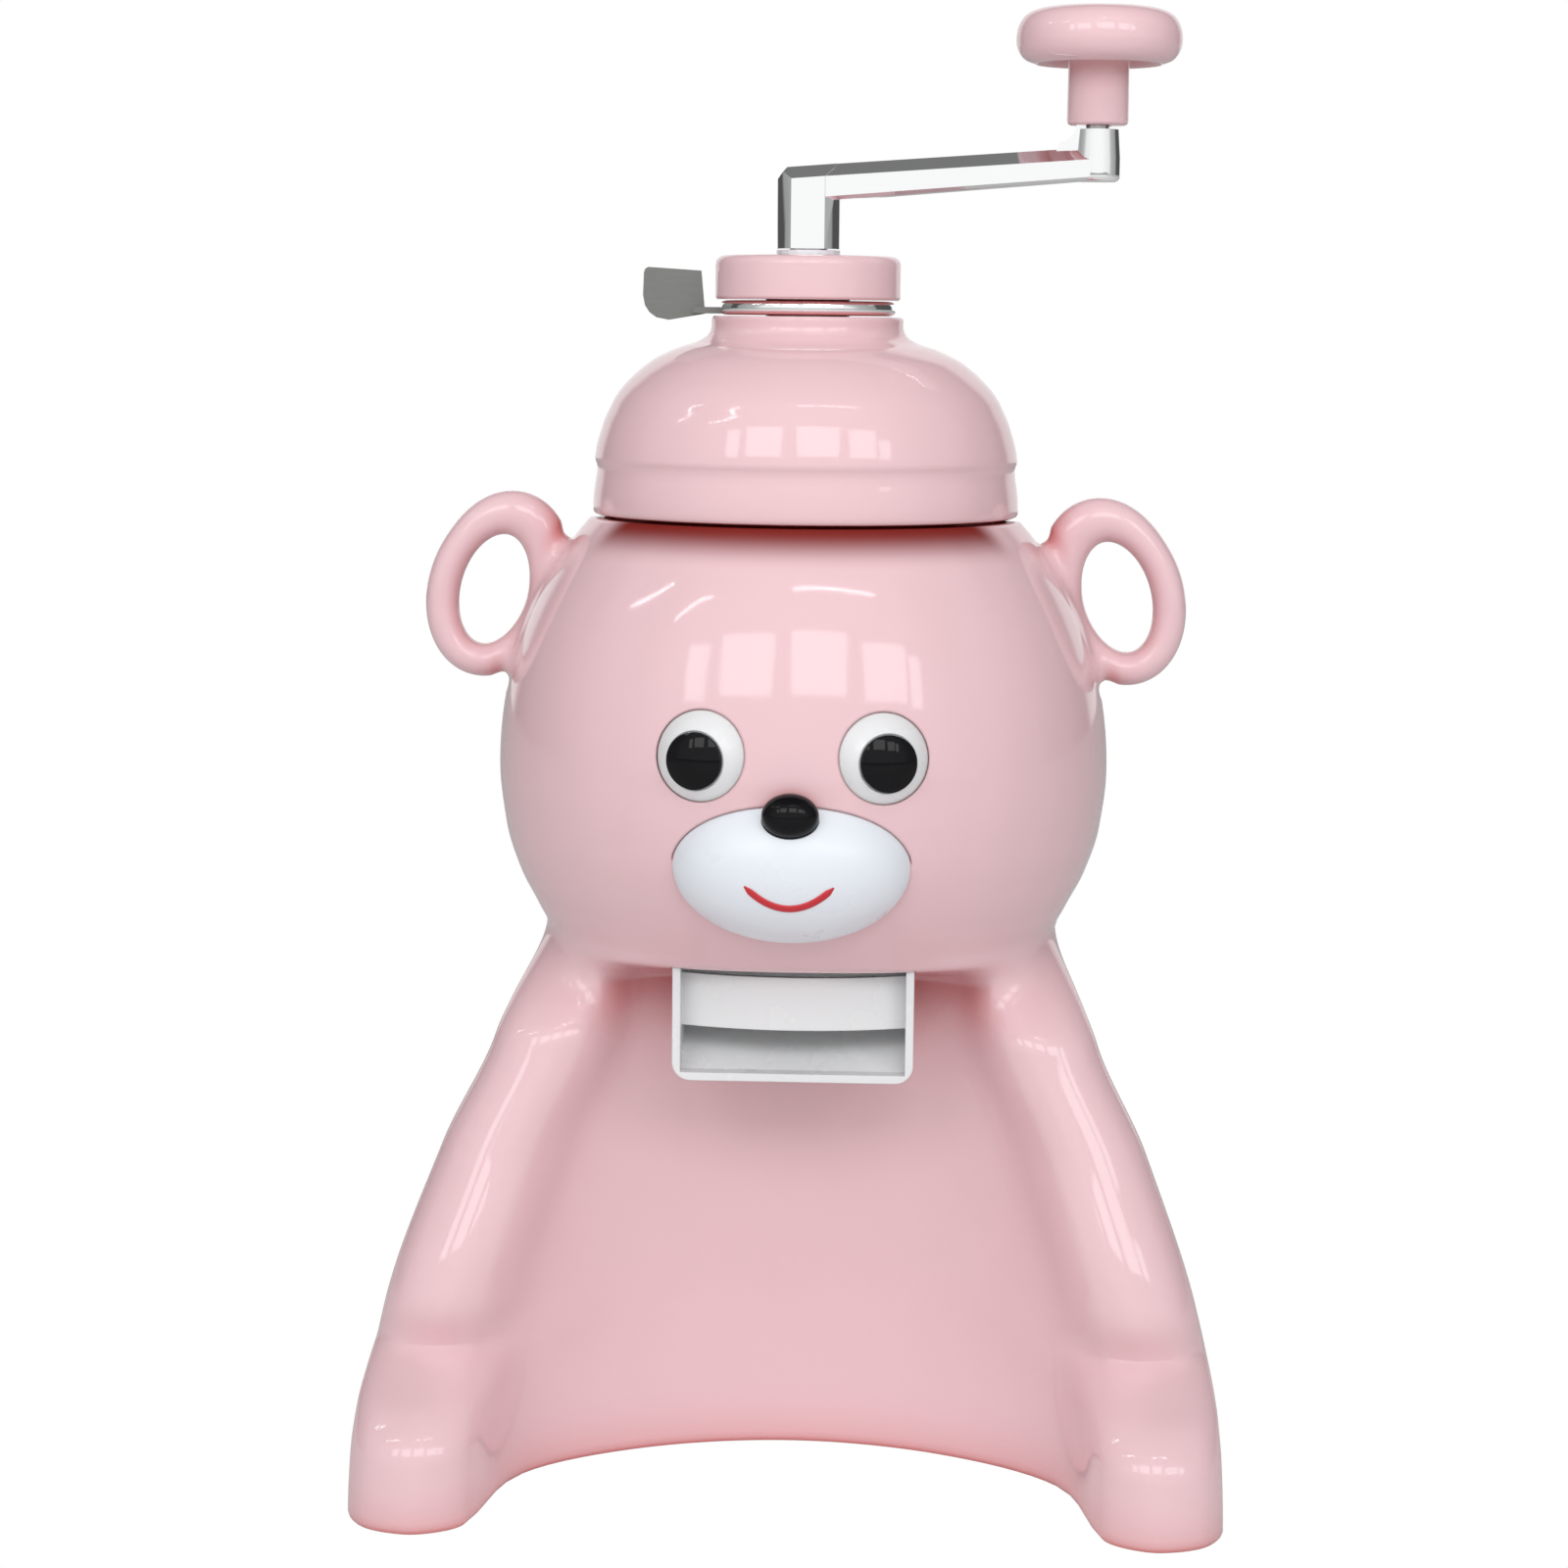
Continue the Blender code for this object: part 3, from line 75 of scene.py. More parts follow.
EAR_X = HEAD_RADIUS + 2.2
EAR_Z = 221.0
EAR_TILT = 16.0
EAR_HOLE_HALF = 8.6
EAR_HOLE_HALF_TALL = 14.4
EAR_BAND = 8.4
EAR_BAND_TOP = 12.0
EAR_DEPTH = 10.5
DECK_TOP = 134.0
DECK_THICK = 6.0
CHAMBER_RADIUS = COLLAR_RADIUS - 5.3
CHAMBER_WALL = 2.4
CHUTE_WIDE = 59.2
CHUTE_FRONT = -CHAMBER_RADIUS - 6.0
CHUTE_REAR = 19.0 - CHAMBER_RADIUS
CHUTE_BOTTOM = 104.5
CHUTE_FLOOR_REAR = 119.0
CHUTE_WALL = 2.0
CHUTE_CORNER = 4.5
CHUTE_PLATE_LOW = 117.3
CHUTE_PLATE_HIGH = 130.5
CHUTE_BOW = 5.5
EYE_X = 22.0
EYE_Z = 187.0
EYE_RADIUS = 13.0
EYE_SHOWN_RADIUS = 10.0
EYE_PIN_RADIUS = 1.5
EYE_TAIL = 14.3
PUPIL_RADIUS = 6.8
PUPIL_RISE = 0.8
MUZZLE_HALF_WIDE = 29.0
MUZZLE_HALF_TALL = 19.0
MUZZLE_Z = 161.3
MUZZLE_FRONT = -HEAD_RADIUS - 7.1
MUZZLE_BACK = 7.4 - HEAD_RADIUS
MUZZLE_CENTRE_Y = 11.4 - HEAD_RADIUS
MUZZLE_DEEP = MUZZLE_CENTRE_Y - MUZZLE_FRONT
NOSE_HALF_WIDE = 6.8
NOSE_HALF_TALL = 5.4
NOSE_HALF_DEEP = 5.0
NOSE_Z = 174.8
NOSE_PROUD = 1.5
LID_RADIUS = HEAD_TOP_RADIUS - 0.4
LID_BASE = 241.0
LID_WALL = 2.5
LID_SEAT = COLLAR_TOP + GAP + 2.0 + GAP
NECK_RADIUS = 24.3
NECK_TOP = 290.9
RING_RADIUS = 22.4
RING_THICK = 3.6
CAP_RADIUS = 23.4
CAP_TOP = 306.0
TAB_NEAR = 27.0
TAB_FAR = 41.7
TAB_TOP = 303.0
TAB_THICK = 1.6
SHAFT_RADIUS = 5.2
HUB_TOP = 329.0
CRANK_REACH = 72.0
ARM_TALL = 9.0
ARM_HALF = 7.2
ARM_SLOPE = 3.0
HUB_WIDE = 8.2
SOCKET_RADIUS = 4.95
POST_RADIUS = 6.0
POST_TOP = 338.0
POST_TALL = 13.0
KNOB_RADIUS = 20.7
KNOB_TOP = 368.0
KNOB_DISC = 14.0
SLEEVE_RADIUS = 7.7
KNOB_PIN_RADIUS = 3.0
SCREW_RADIUS = 1.5
SCREW_HEAD_RADIUS = 3.2
BOSS_RADIUS = 5.2
BOSS_REACH = 70.0
BOSS_HIGH = (HEAD_RADIUS - 22.4, HEAD_CENTRE_Z - 15.0)
BOSS_LOW = (60.0, 62.0)
SCREW_LONG = 22.0
SCREW_SEAT = 10.0
FOOT_PAD_TALL = 7.0
REAR_PAD_RADIUS = 7.5

# The skin's control angles, and how many points follow each, fine outside and coarse inside
HEAD_ANGLES = (0, 21, 38, 50, 60, 69, 77, 84, 90, 135, 180)
FINE = (12, 8, 5, 6, 8, 8, 5, 5, 24, 18)
COARSE = (4, 4, 2, 2, 2, 2, 2, 2, 4, 4)
ROUND = 96
ROOT_WIDE = 6.0
ROOT_PASSES = 30
MOUTH_HALF = 10.5
MOUTH_Z = 153.2
MOUTH_RISE = 5.2
MOUTH_THICK = 0.95

# The skin's pink, the painted shade that deepens it in hollows, and the painted shadow below the lid's edge
PINK = (0.785, 0.535, 0.568)
PAINTED_HOLLOW_SHADE = (0.66, 0.17, 0.16)
PAINTED_LID_SHADOW = (0.20, 0.022, 0.018)
# Where the painted shadow below the lid starts and is full: rising to the lid's edge, ending there, and on the front
# only
LID_SHADOW_MASK = (("Z", 230.0, 240.5), ("Z", 242.1, 241.5), ("Y", -26.0, -36.0))
# How bright the room is, from straight ahead of the face (0) to straight behind it (1)
ROOM = ((0.0, 0.97), (0.20, 0.85), (0.38, 0.42), (0.57, 0.32), (0.63, 0.08), (0.88, 0.08), (0.925, 1.0), (1.0, 1.0))
# The same from straight below (0) to straight above (1)
CEILING = ((0.0, 1.0), (0.92, 1.0), (0.945, 0.62), (0.98, 0.55), (1.0, 0.55))
# Lights, in metres and watts for each square metre: the windows' places and sizes across
PANES = ((-1.05, 0.22), (-0.52, 0.5), (0.2, 0.55), (0.86, 0.42), (1.32, 0.22))
PANE_Y, PANE_Z, PANE_TALL, PANE_GLOW = -1.25, 0.98, 0.5, 10.0
# The lamp tubes under the ceiling: from and to, each as turn and rise in degrees
TUBES = (((-86, 33), (-77, 44)), ((-63, 37), (-48, 48)), ((-5, 56), (41, 51)))
TUBE_FAR, TUBE_THICK, TUBE_GLOW = 1.6, 0.022, 45.0
HEAD_PLACE = Vector((0, -0.06, 0.22))


def add_object(name, points, faces, centre=(0, 0, 0)):
    """An object from points in millimetres, its origin at centre."""
    mesh = bpy.data.meshes.new(name)
    places = [tuple((Vector(p) - Vector(centre)) * MM) for p in points]
    mesh.from_pydata(places, [], faces)
    made = bpy.data.objects.new(name, mesh)
    made.location = Vector(centre) * MM
    bpy.context.scene.collection.objects.link(made)
    work = bmesh.new()
    work.from_mesh(mesh)
    bmesh.ops.recalc_face_normals(work, faces=work.faces)
    work.to_mesh(mesh)
    work.free()
    return made


def grid_faces(rows, columns, first=0):
    """Quads between closed rings of points, ring after ring."""
    faces = []
    for r in range(rows - 1):
        for c in range(columns):
            n = (c + 1) % columns
            low = first + r * columns
            faces.append((low + c, low + n, low + columns + n, low + columns + c))
    return faces


def loft(name, rings, centre=(0, 0, 0)):
    """A closed solid through rings of as many points each, with flat ends."""
    count = len(rings[0])
    points = [p for ring in rings for p in ring]
    faces = grid_faces(len(rings), count)
    faces.append(tuple(reversed(range(count))))
    faces.append(tuple(range(len(points) - count, len(points))))
    return add_object(name, points, faces, centre)


def triangulated(thing):
    """The piece with every face a triangle, so that each face is flat."""
    work = bmesh.new()
    work.from_mesh(thing.data)
    bmesh.ops.triangulate(work, faces=work.faces, quad_method="SHORT_EDGE")
    work.to_mesh(thing.data)
    work.free()
    return thing


def turned(name, profile, segments, centre=(0, 0, 0)):
    """A solid turned about Z from (radius, height) pairs.

    A profile that starts and ends on the axis is closed there. Any other
    profile is a closed loop and leaves a bore.
    """
    on_axis = profile[0][0] == 0 and profile[-1][0] == 0
    body = profile[1:-1] if on_axis else profile
    cx, cy, cz = centre
    points = []
    for radius, height in body:
        for k in range(segments):
            turn = 2 * math.pi * k / segments
            points.append((cx + radius * math.cos(turn), cy + radius * math.sin(turn), cz + height))
    faces = grid_faces(len(body), segments)
    last = (len(body) - 1) * segments
    if on_axis:
        points += [(cx, cy, cz + profile[0][1]), (cx, cy, cz + profile[-1][1])]
        for k in range(segments):
            n = (k + 1) % segments
            faces.append((len(points) - 2, n, k))
            faces.append((len(points) - 1, last + k, last + n))
    else:
        for k in range(segments):
            n = (k + 1) % segments
            faces.append((last + k, last + n, n, k))
    return add_object(name, points, faces, centre)


def rod(name, start, end, radius, segments):
    """A round bar from start to end."""
    start, end = Vector(start), Vector(end)
    turn = (end - start).to_track_quat("Z", "Y")
    rings = []
    for place in (start, end):
        ring = []
        for k in range(segments):
            angle = 2 * math.pi * k / segments
            ring.append(place + turn @ Vector((radius * math.cos(angle), radius * math.sin(angle), 0)))
        rings.append(ring)
    return loft(name, rings, start)


def block(name, low, high):
    """A box between two corners."""
    rings = []
    for z in (low[2], high[2]):
        rings.append([(low[0], low[1], z), (high[0], low[1], z), (high[0], high[1], z), (low[0], high[1], z)])
    return loft(name, rings, low)


def egg(name, centre, half, rings=12, segments=24):
    """An ellipsoid with the given half sizes."""
    profile = []
    for k in range(rings + 1):
        angle = math.pi * k / rings
        profile.append((0 if k in (0, rings) else math.sin(angle), -math.cos(angle)))
    made = turned(name, profile, segments)
    for vertex in made.data.vertices:
        vertex.co = Vector((vertex.co[i] * half[i] for i in range(3)))
    made.location = Vector(centre) * MM
    return made


def arc(centre, radius, start, end, count):
    """Points (radius, height) along an arc, with angles in degrees."""
    made = []
    for k in range(count + 1):
        angle = math.radians(start + (end - start) * k / count)
        made.append((centre[0] + radius * math.cos(angle), centre[1] + radius * math.sin(angle)))
    return made


def cubic(t, start, first, end, second):
    """Smooth way from start to end, leaving and arriving with the given slopes."""
    return (
        (2 * t**3 - 3 * t**2 + 1) * start
        + (t**3 - 2 * t**2 + t) * first
        + (-2 * t**3 + 3 * t**2) * end
        + (t**3 - t**2) * second
    )


def through(stations, z):
    """Smooth value at height z through (height, value) stations."""
    heights = [s[0] for s in stations]
    values = [s[1] for s in stations]
    if z <= heights[0]:
        return values[0]
    if z >= heights[-1]:
        return values[-1]
    k = max(i for i in range(len(heights) - 1) if heights[i] <= z)

    def slope(i):
        if i in (0, len(heights) - 1):
            return 0.0
        before = (values[i] - values[i - 1]) / (heights[i] - heights[i - 1])
        after = (values[i + 1] - values[i]) / (heights[i + 1] - heights[i])
        return 0.0 if before * after <= 0 else 2 * before * after / (before + after)

    wide = heights[k + 1] - heights[k]
    t = (z - heights[k]) / wide
    return cubic(t, values[k], wide * slope(k), values[k + 1], wide * slope(k + 1))


def step_between(low, high, value):
    """0 below low, 1 above high, and smooth between."""
    t = min(1.0, max(0.0, (value - low) / (high - low)))
    return t * t * (3 - 2 * t)


def head_radius(z):
    """Half width of the head: a ball that narrows to the waist and the collar."""
    if z >= HEAD_CENTRE_Z:
        tall = (HEAD_TOP_Z - HEAD_CENTRE_Z) / math.sqrt(1 - (HEAD_TOP_RADIUS / HEAD_RADIUS) ** 2)
        return HEAD_RADIUS * math.sqrt(max(0.0, 1 - ((z - HEAD_CENTRE_Z) / tall) ** 2))
    return through(
        (
            (WAIST_Z, WAIST_RADIUS),
            (WAIST_Z + 6.0, WAIST_RADIUS + 2.6),
            (WAIST_Z + 15.0, WAIST_RADIUS + 7.2),
            (HEAD_CENTRE_Z - 15.0, HEAD_RADIUS - 1.6),
            (HEAD_CENTRE_Z, HEAD_RADIUS),
        ),
        z,
    )


def chin_radius(z):
    """Depth of the head's front, which runs on round under the chin."""
    drop = (HEAD_CENTRE_Z - z) / (HEAD_CENTRE_Z - BAY_CEILING_HIGH + 20.0)
    return head_radius(z) if drop <= 0 else HEAD_RADIUS * math.sqrt(max(0.05, 1 - drop**2))


def limb(z):
    """Centre x, centre y and radius of the arm, paw and foot at height z."""
    x = through(((0, FOOT_X), (28, FOOT_X - 1.0), (PAW_Z, PAW_X), (85, 73.5), (SHOULDER_Z, SHOULDER_X)), z)
    radius = through(((0, FOOT_RADIUS), (PAW_Z, PAW_RADIUS), (SHOULDER_Z, SHOULDER_RADIUS)), z)
    front = through(
        (
            (0, FOOT_FRONT),
            (18, FOOT_FRONT - 1.5),
            (27, FOOT_FRONT - 8.0),
            (34, PAW_FRONT + 6.0),
            (39, PAW_FRONT - 2.2),
            (PAW_Z - 1.0, PAW_FRONT),
            (PAW_Z + 7.0, PAW_FRONT - 1.2),
            (85, 51.0),
            (SHOULDER_Z, SHOULDER_FRONT),
            (WAIST_Z, SHOULDER_FRONT - 3.0),
        ),
        z,
    )
    return x, radius - front, radius


def rear_depth(z):
    """How far the back reaches at height z."""
    if z >= HEAD_CENTRE_Z:
        return head_radius(z)
    return through(
        (
            (0, REAR_BASE_Y),
            (25, REAR_BASE_Y - 4.0),
            (85, 70.0),
            (WAIST_Z - 8.0, WAIST_RADIUS - 4.5),
            (WAIST_Z + 1.0, WAIST_RADIUS - 5.0),
            (WAIST_Z + 15.0, WAIST_RADIUS + 4.0),
            (HEAD_CENTRE_Z - 15.0, HEAD_RADIUS - 2.4),
            (HEAD_CENTRE_Z, HEAD_RADIUS),
        ),
        z,
    )


def section_controls(z):
    """Control points of the right half of the body's plan section at z."""
    x, y, radius = limb(z)
    middle = BAY_WALL_Y - BAY_WALL_RADIUS
    steep = step_between(BAY_CEILING_LOW, BAY_CEILING_HIGH, z)
    soft = step_between(SHOULDER_Z - 8.0, WAIST_Z + 3.0, z)

    def on_wall(wide):
        return (wide, middle + math.sqrt(BAY_WALL_RADIUS**2 - wide**2))

    def on_limb(angle):
        turn = math.radians(angle)
        return (x + radius * math.cos(turn), y + radius * math.sin(turn))

    side = (x + radius) * SIDE_SHARE
    rear = rear_depth(z)
    low = [
        on_wall(0.0),
        on_wall(0.5 * (x - radius)),
        on_wall(x - 1.5 * radius),
        on_limb(208),
        on_limb(236),
        on_limb(270),
        on_limb(315),
        on_limb(358),
        (side, 0.0),
        (0.74 * side, 0.74 * rear),
        (0.0, rear),
    ]
    wide, deep = head_radius(z), chin_radius(z)
    high = []
    for angle in HEAD_ANGLES:
        turn = math.radians(angle)
        along = deep if angle < 90 else rear
        blend = math.sin(turn) ** 2 if angle < 90 else 0.0
        along = along + (wide - along) * blend
        high.append((wide * math.sin(turn), -along * math.cos(turn)))
    shares = [steep] * 3 + [0.5 * (steep + soft)] + [soft] * 7
    points = []
    for share, a, b in zip(shares, low, high):
        points.append(Vector((a[0] + (b[0] - a[0]) * share, a[1] + (b[1] - a[1]) * share)))
    return points


def closed_section(z, samples):
    """The whole plan section at z as a closed smooth outline."""
    right = section_controls(z)
    ring = right + [Vector((-p.x, p.y)) for p in reversed(right[1:-1])]
    counts = list(samples) + list(reversed(samples))
    outline = []
    for k in range(len(ring)):
        before, start, end, after = (ring[(k + i) % len(ring)] for i in (-1, 0, 1, 2))
        span = (end - start).length
        first = (end - before) * (span / ((start - before).length + span))
        second = (after - start) * (span / ((after - end).length + span))
        for i in range(counts[k]):
            outline.append(cubic(i / counts[k], start, first, end, second))
    return outline


def skin_rings(heights, samples, inset=0.0):
    """Rings of the body's skin, moved inwards along its normal by inset."""
    rings = []
    small = 0.4
    for z in heights:
        here = closed_section(z, samples)
        above = closed_section(z + small, samples)
        below = closed_section(z - small, samples)
        count = len(here)
        ring = []
        for k in range(count):
            ahead = here[(k + 1) % count] - here[k - 1]
            round_way = Vector((ahead.x, ahead.y, 0)).normalized()
            rise = above[k] - below[k]
            up_way = Vector((rise.x, rise.y, 2 * small)).normalized()
            inward = up_way.cross(round_way).normalized()
            place = Vector((here[k].x, here[k].y, z))
            ring.append(place + inward * inset)
        rings.append(ring)
    return rings


def circle_ring(radius, z, samples):
    """A round ring whose points match the columns of a plan section."""
    angles = []
    for k, count in enumerate(samples):
        step = HEAD_ANGLES[k + 1] - HEAD_ANGLES[k]
        angles += [HEAD_ANGLES[k] + step * i / count for i in range(count)]
    angles += [180.0] + [360.0 - a for a in reversed(angles[1:])]
    turns = [math.radians(a) for a in angles]
    return [Vector((radius * math.sin(t), -radius * math.cos(t), z)) for t in turns]


def ear_ring(side, name):
    """One loop handle: a rounded band round a tilted oval hole."""
    around, about = 112, 40
    lean = math.radians(EAR_TILT)
    rings = []
    for i in range(around):
        turn = 2 * math.pi * i / around
        top = max(0.0, math.sin(turn + 0.35)) ** 2
        band = EAR_BAND + (EAR_BAND_TOP - EAR_BAND) * top
        wide = EAR_HOLE_HALF + band / 2
        tall = EAR_HOLE_HALF_TALL + band / 2
        out = Vector((tall * math.cos(turn), wide * math.sin(turn))).normalized()
        middle = Vector((wide * math.cos(turn), tall * math.sin(turn)))
        ring = []
        for j in range(about):
            roll = 2 * math.pi * j / about
            flat = middle + out * (band / 2 * math.cos(roll))
            x = flat.x * math.cos(lean) + flat.y * math.sin(lean)
            z = -flat.x * math.sin(lean) + flat.y * math.cos(lean)
            ring.append((side * (EAR_X - x), EAR_DEPTH / 2 * math.sin(roll), EAR_Z + z))
        rings.append(ring)
    points = [p for ring in rings for p in ring]
    faces = []
    for i in range(around):
        for j in range(about):
            a, b = i * about + j, i * about + (j + 1) % about
            c, d = (b + about) % len(points), (a + about) % len(points)
            faces.append((a, b, c, d))
    return triangulated(add_object(name, points, faces))


def boss_places():
    """Where the two halves of the body are screwed together."""
    for side in (-1, 1):
        for x, z in (BOSS_HIGH, BOSS_LOW):
            yield side * x, z


def front_foot_places():
    """Centre and radius of the rubber plug in each front foot."""
    x, y, radius = limb(0)
    for side in (-1, 1):
        yield side * x, y, radius - WALL - 0.7


def rear_foot_places():
    """Centre of the pad in each rear foot."""
    for side in (-1, 1):
        yield side * (0.70 * SIDE_SHARE * (FOOT_X + FOOT_RADIUS)), 0.66 * REAR_BASE_Y


def eye_places():
    """Side, name and centre of each eye ball."""
    rear = math.sqrt(EYE_RADIUS**2 - EYE_SHOWN_RADIUS**2)
    skin = math.sqrt(head_radius(EYE_Z) ** 2 - EYE_X**2)
    share = 1 - rear / head_radius(EYE_Z)
    for side, word in ((-1, "left"), (1, "right")):
        yield side, word, Vector((side * EYE_X * share, -skin * share, EYE_Z))


def boolean(thing, other, operation="DIFFERENCE"):
    """Cut, join or keep with another solid, at once, and drop that solid."""
    step = thing.modifiers.new("step", "BOOLEAN")
    step.operation = operation
    step.solver = "MANIFOLD"
    step.object = other
    bpy.context.view_layer.update()
    graph = bpy.context.evaluated_depsgraph_get()
    mesh = bpy.data.meshes.new_from_object(thing.evaluated_get(graph))
    thing.modifiers.clear()
    old, thing.data = thing.data, mesh
    bpy.data.meshes.remove(old)
    bpy.data.objects.remove(other, do_unlink=True)
    return thing


def between(heights, step):
    """The heights with more between them, no further apart than step."""
    made = []
    for low, high in zip(heights, heights[1:]):
        count = max(1, math.ceil((high - low) / step))
        made += [low + (high - low) * k / count for k in range(count)]
    return made + [heights[-1]]


def body_outside():
    """The skin from the rounded foot edges up to the collar, as one solid."""
    rings = []
    for z, inset in ((BODY_BASE, 1.5), (1.0, 0.8), (1.5, 0.3), (2.4, 0.0)):
        ring = skin_rings((z,), FINE, inset)[0]
        rings.append([Vector((p.x, p.y, z)) for p in ring])
    heights = between((4.0, 16, 26, 33, 39, 44, 50, 58, 76, 94, 108, 117, 123), 1.6)
    heights += between((123.6, 126, 128, 129.5, 131, 133, 136.5), 0.6)
    heights += between((138, 142, 150, 162, 177, 192, 207, 220, 229, 236, 239), 1.6)
    rings += skin_rings(heights, FINE)
    top = [
        (HEAD_TOP_RADIUS + 0.6, HEAD_TOP_Z - 0.7),
        (HEAD_TOP_RADIUS + 0.1, HEAD_TOP_Z - 0.2),
        (HEAD_TOP_RADIUS - 0.7, HEAD_TOP_Z),
        (COLLAR_RADIUS + 0.6, HEAD_TOP_Z),
        (COLLAR_RADIUS, HEAD_TOP_Z + 0.6),
        (COLLAR_RADIUS, COLLAR_TOP),
    ]
    rings += [circle_ring(radius, z, FINE) for radius, z in top]
    return triangulated(loft("body_outside", rings))


def body_hollow():
    """The room inside the skin, without the deck, the bosses and the rear feet's pads."""
    levels = (BODY_BASE + WALL, 22, 32, 40, 50, 75, 104, 118, 125, 128.3, 131.6, 136, 144, 158, 177, 196, 214, 228)
    heights = between(levels, 4.0)
    rings = skin_rings(heights, COARSE, WALL)
    below = [Vector((p.x, p.y, -5.0)) for p in rings[0]]
    bore = CHAMBER_RADIUS + CHAMBER_WALL - 1.0
    ceiling = HEAD_TOP_Z - WALL
    top = ((HEAD_TOP_RADIUS - 0.5, ceiling - 1.5), (bore + 1.0, ceiling - 0.8), (bore, ceiling + 1.0))
    rings = [below] + rings
    rings += [circle_ring(radius, z, COARSE) for radius, z in top]
    rings.append(circle_ring(bore, COLLAR_TOP + 5.0, COARSE))
    hollow = triangulated(loft("body_hollow", rings))
    boolean(hollow, block("deck_web", (-120, -120, DECK_TOP - DECK_THICK), (120, 120, DECK_TOP)))
    for x, z in boss_places():
        boolean(hollow, rod("boss_web", (x, -BOSS_REACH, z), (x, BOSS_REACH, z), BOSS_RADIUS, 32))
    for x, y in rear_foot_places():
        boolean(hollow, rod("foot_web", (x, y, 2.0), (x, y, 16.0), REAR_PAD_RADIUS + WALL, 32))
    return hollow


def muzzle_solid(name, grow, back):
    """The muzzle's egg, cut off flat at the back."""
    half = (MUZZLE_HALF_WIDE + grow, MUZZLE_DEEP + grow, MUZZLE_HALF_TALL + grow)
    made = egg(name, (0, MUZZLE_CENTRE_Y, MUZZLE_Z), half, 64, 128)
    return boolean(made, block("muzzle_keep", (-60, -120, 100), (60, back, 230)), "INTERSECT")


def nose_solid(name, grow=0.0):
    """The nose: an egg that stands out of the muzzle."""
    level = (NOSE_Z - MUZZLE_Z) / MUZZLE_HALF_TALL
    tip = Vector((0, MUZZLE_CENTRE_Y - MUZZLE_DEEP * math.sqrt(1 - level**2) - NOSE_PROUD, NOSE_Z))
    half = (NOSE_HALF_WIDE + grow, NOSE_HALF_DEEP + grow, NOSE_HALF_TALL + grow)
    return egg(name, tip, half, 40, 64)


def fill_ear_roots(body):
    """Turn the hard line where each ear meets the head into a soft hollow."""
    work = bmesh.new()
    work.from_mesh(body.data)
    bmesh.ops.remove_doubles(work, verts=work.verts, dist=0.12 * MM)
    seam = []
    for edge in work.edges:
        place = (edge.verts[0].co + edge.verts[1].co) / 2 / MM
        if place.z > 180 and abs(place.x) > 50 and len(edge.link_faces) == 2 and not edge.is_convex:
            if edge.calc_face_angle(0.0) > math.radians(22):
                seam.append(edge)
    tree = KDTree(2 * len(seam))
    for k, edge in enumerate(seam):
        for i in (0, 1):
            tree.insert(edge.verts[i].co, 2 * k + i)
    tree.balance()
    near = []
    for vertex in work.verts:
        if vertex.co.z > 170 * MM and abs(vertex.co.x) > 40 * MM:
            away = tree.find(vertex.co)[2] / MM
            if away < ROOT_WIDE:
                near.append((vertex, 1 - step_between(0.35 * ROOT_WIDE, ROOT_WIDE, away)))
    for _ in range(ROOT_PASSES):
        moved = []
        for vertex, share in near:
            links = [edge.other_vert(vertex).co for edge in vertex.link_edges]
            middle = sum(links, Vector((0, 0, 0))) / len(links)
            moved.append(vertex.co + (middle - vertex.co) * (0.6 * share))
        for (vertex, share), place in zip(near, moved):
            vertex.co = place
    work.to_mesh(body.data)
    work.free()


def make_body():
    """Both moulded halves, with their ears, sockets, bores and seats."""
    body = body_outside()
    for side, word in ((-1, "left"), (1, "right")):
        boolean(body, ear_ring(side, "ear_" + word), "UNION")
    fill_ear_roots(body)
    boolean(body, body_hollow())
    bore = CHAMBER_RADIUS + CHAMBER_WALL + GAP
    low, high = DECK_TOP + 4.0, COLLAR_TOP + 5.0
    boolean(body, turned("collar_bore", [(0, low), (bore, low), (bore, high), (0, high)], ROUND))
    low = (-CHUTE_WIDE / 2 - GAP, CHUTE_FRONT - GAP, BAY_CEILING_LOW - 8.0)
    high = (CHUTE_WIDE / 2 + GAP, CHUTE_REAR + GAP, DECK_TOP + 1.0)
    boolean(body, block("chute_hole", low, high))
    boolean(body, muzzle_solid("muzzle_hole", GAP, MUZZLE_BACK + GAP))
    boolean(body, nose_solid("nose_hole", GAP))
    for _, _, place in eye_places():
        boolean(body, egg("eye_socket", place, (EYE_RADIUS + GAP,) * 3, 48, 96))
        reach = Vector((0, 0, EYE_RADIUS + 3.0))
        boolean(body, rod("eye_bore", place - reach, place + reach, EYE_PIN_RADIUS + GAP, 24))
    for x, z in boss_places():
        tip, seat, far = (x, SCREW_SEAT - SCREW_LONG - 1, z), (x, SCREW_SEAT, z), (x, BOSS_REACH + 20, z)
        boolean(body, rod("screw_bore", tip, (x, SCREW_SEAT + 2, z), SCREW_RADIUS + GAP, 24))
        boolean(body, rod("screw_well", seat, far, SCREW_HEAD_RADIUS + GAP, 32))
    for x, y, radius in front_foot_places():
        boolean(body, rod("plug_seat", (x, y, -5), (x, y, FOOT_PAD_TALL + GAP), radius + GAP, 48))
    for x, y in rear_foot_places():
        top = 2.0 + FOOT_PAD_TALL / 2
        boolean(body, rod("pad_seat", (x, y, -5), (x, y, top), REAR_PAD_RADIUS + GAP, 32))
    far = 130.0
    rear = bpy.data.objects.new("rear_skin", body.data.copy())
    bpy.context.scene.collection.objects.link(rear)
    boolean(rear, block("rear_keep", (-far, GAP / 2, -10), (far, far, 300)), "INTERSECT")
    boolean(body, block("front_keep", (-far, -far, -10), (far, -GAP / 2, 300)), "INTERSECT")
    body.name = "front_skin"
    show(body, "root", "body", ("front_shell",))
    show(rear, "root", "body", ("rear_shell",))


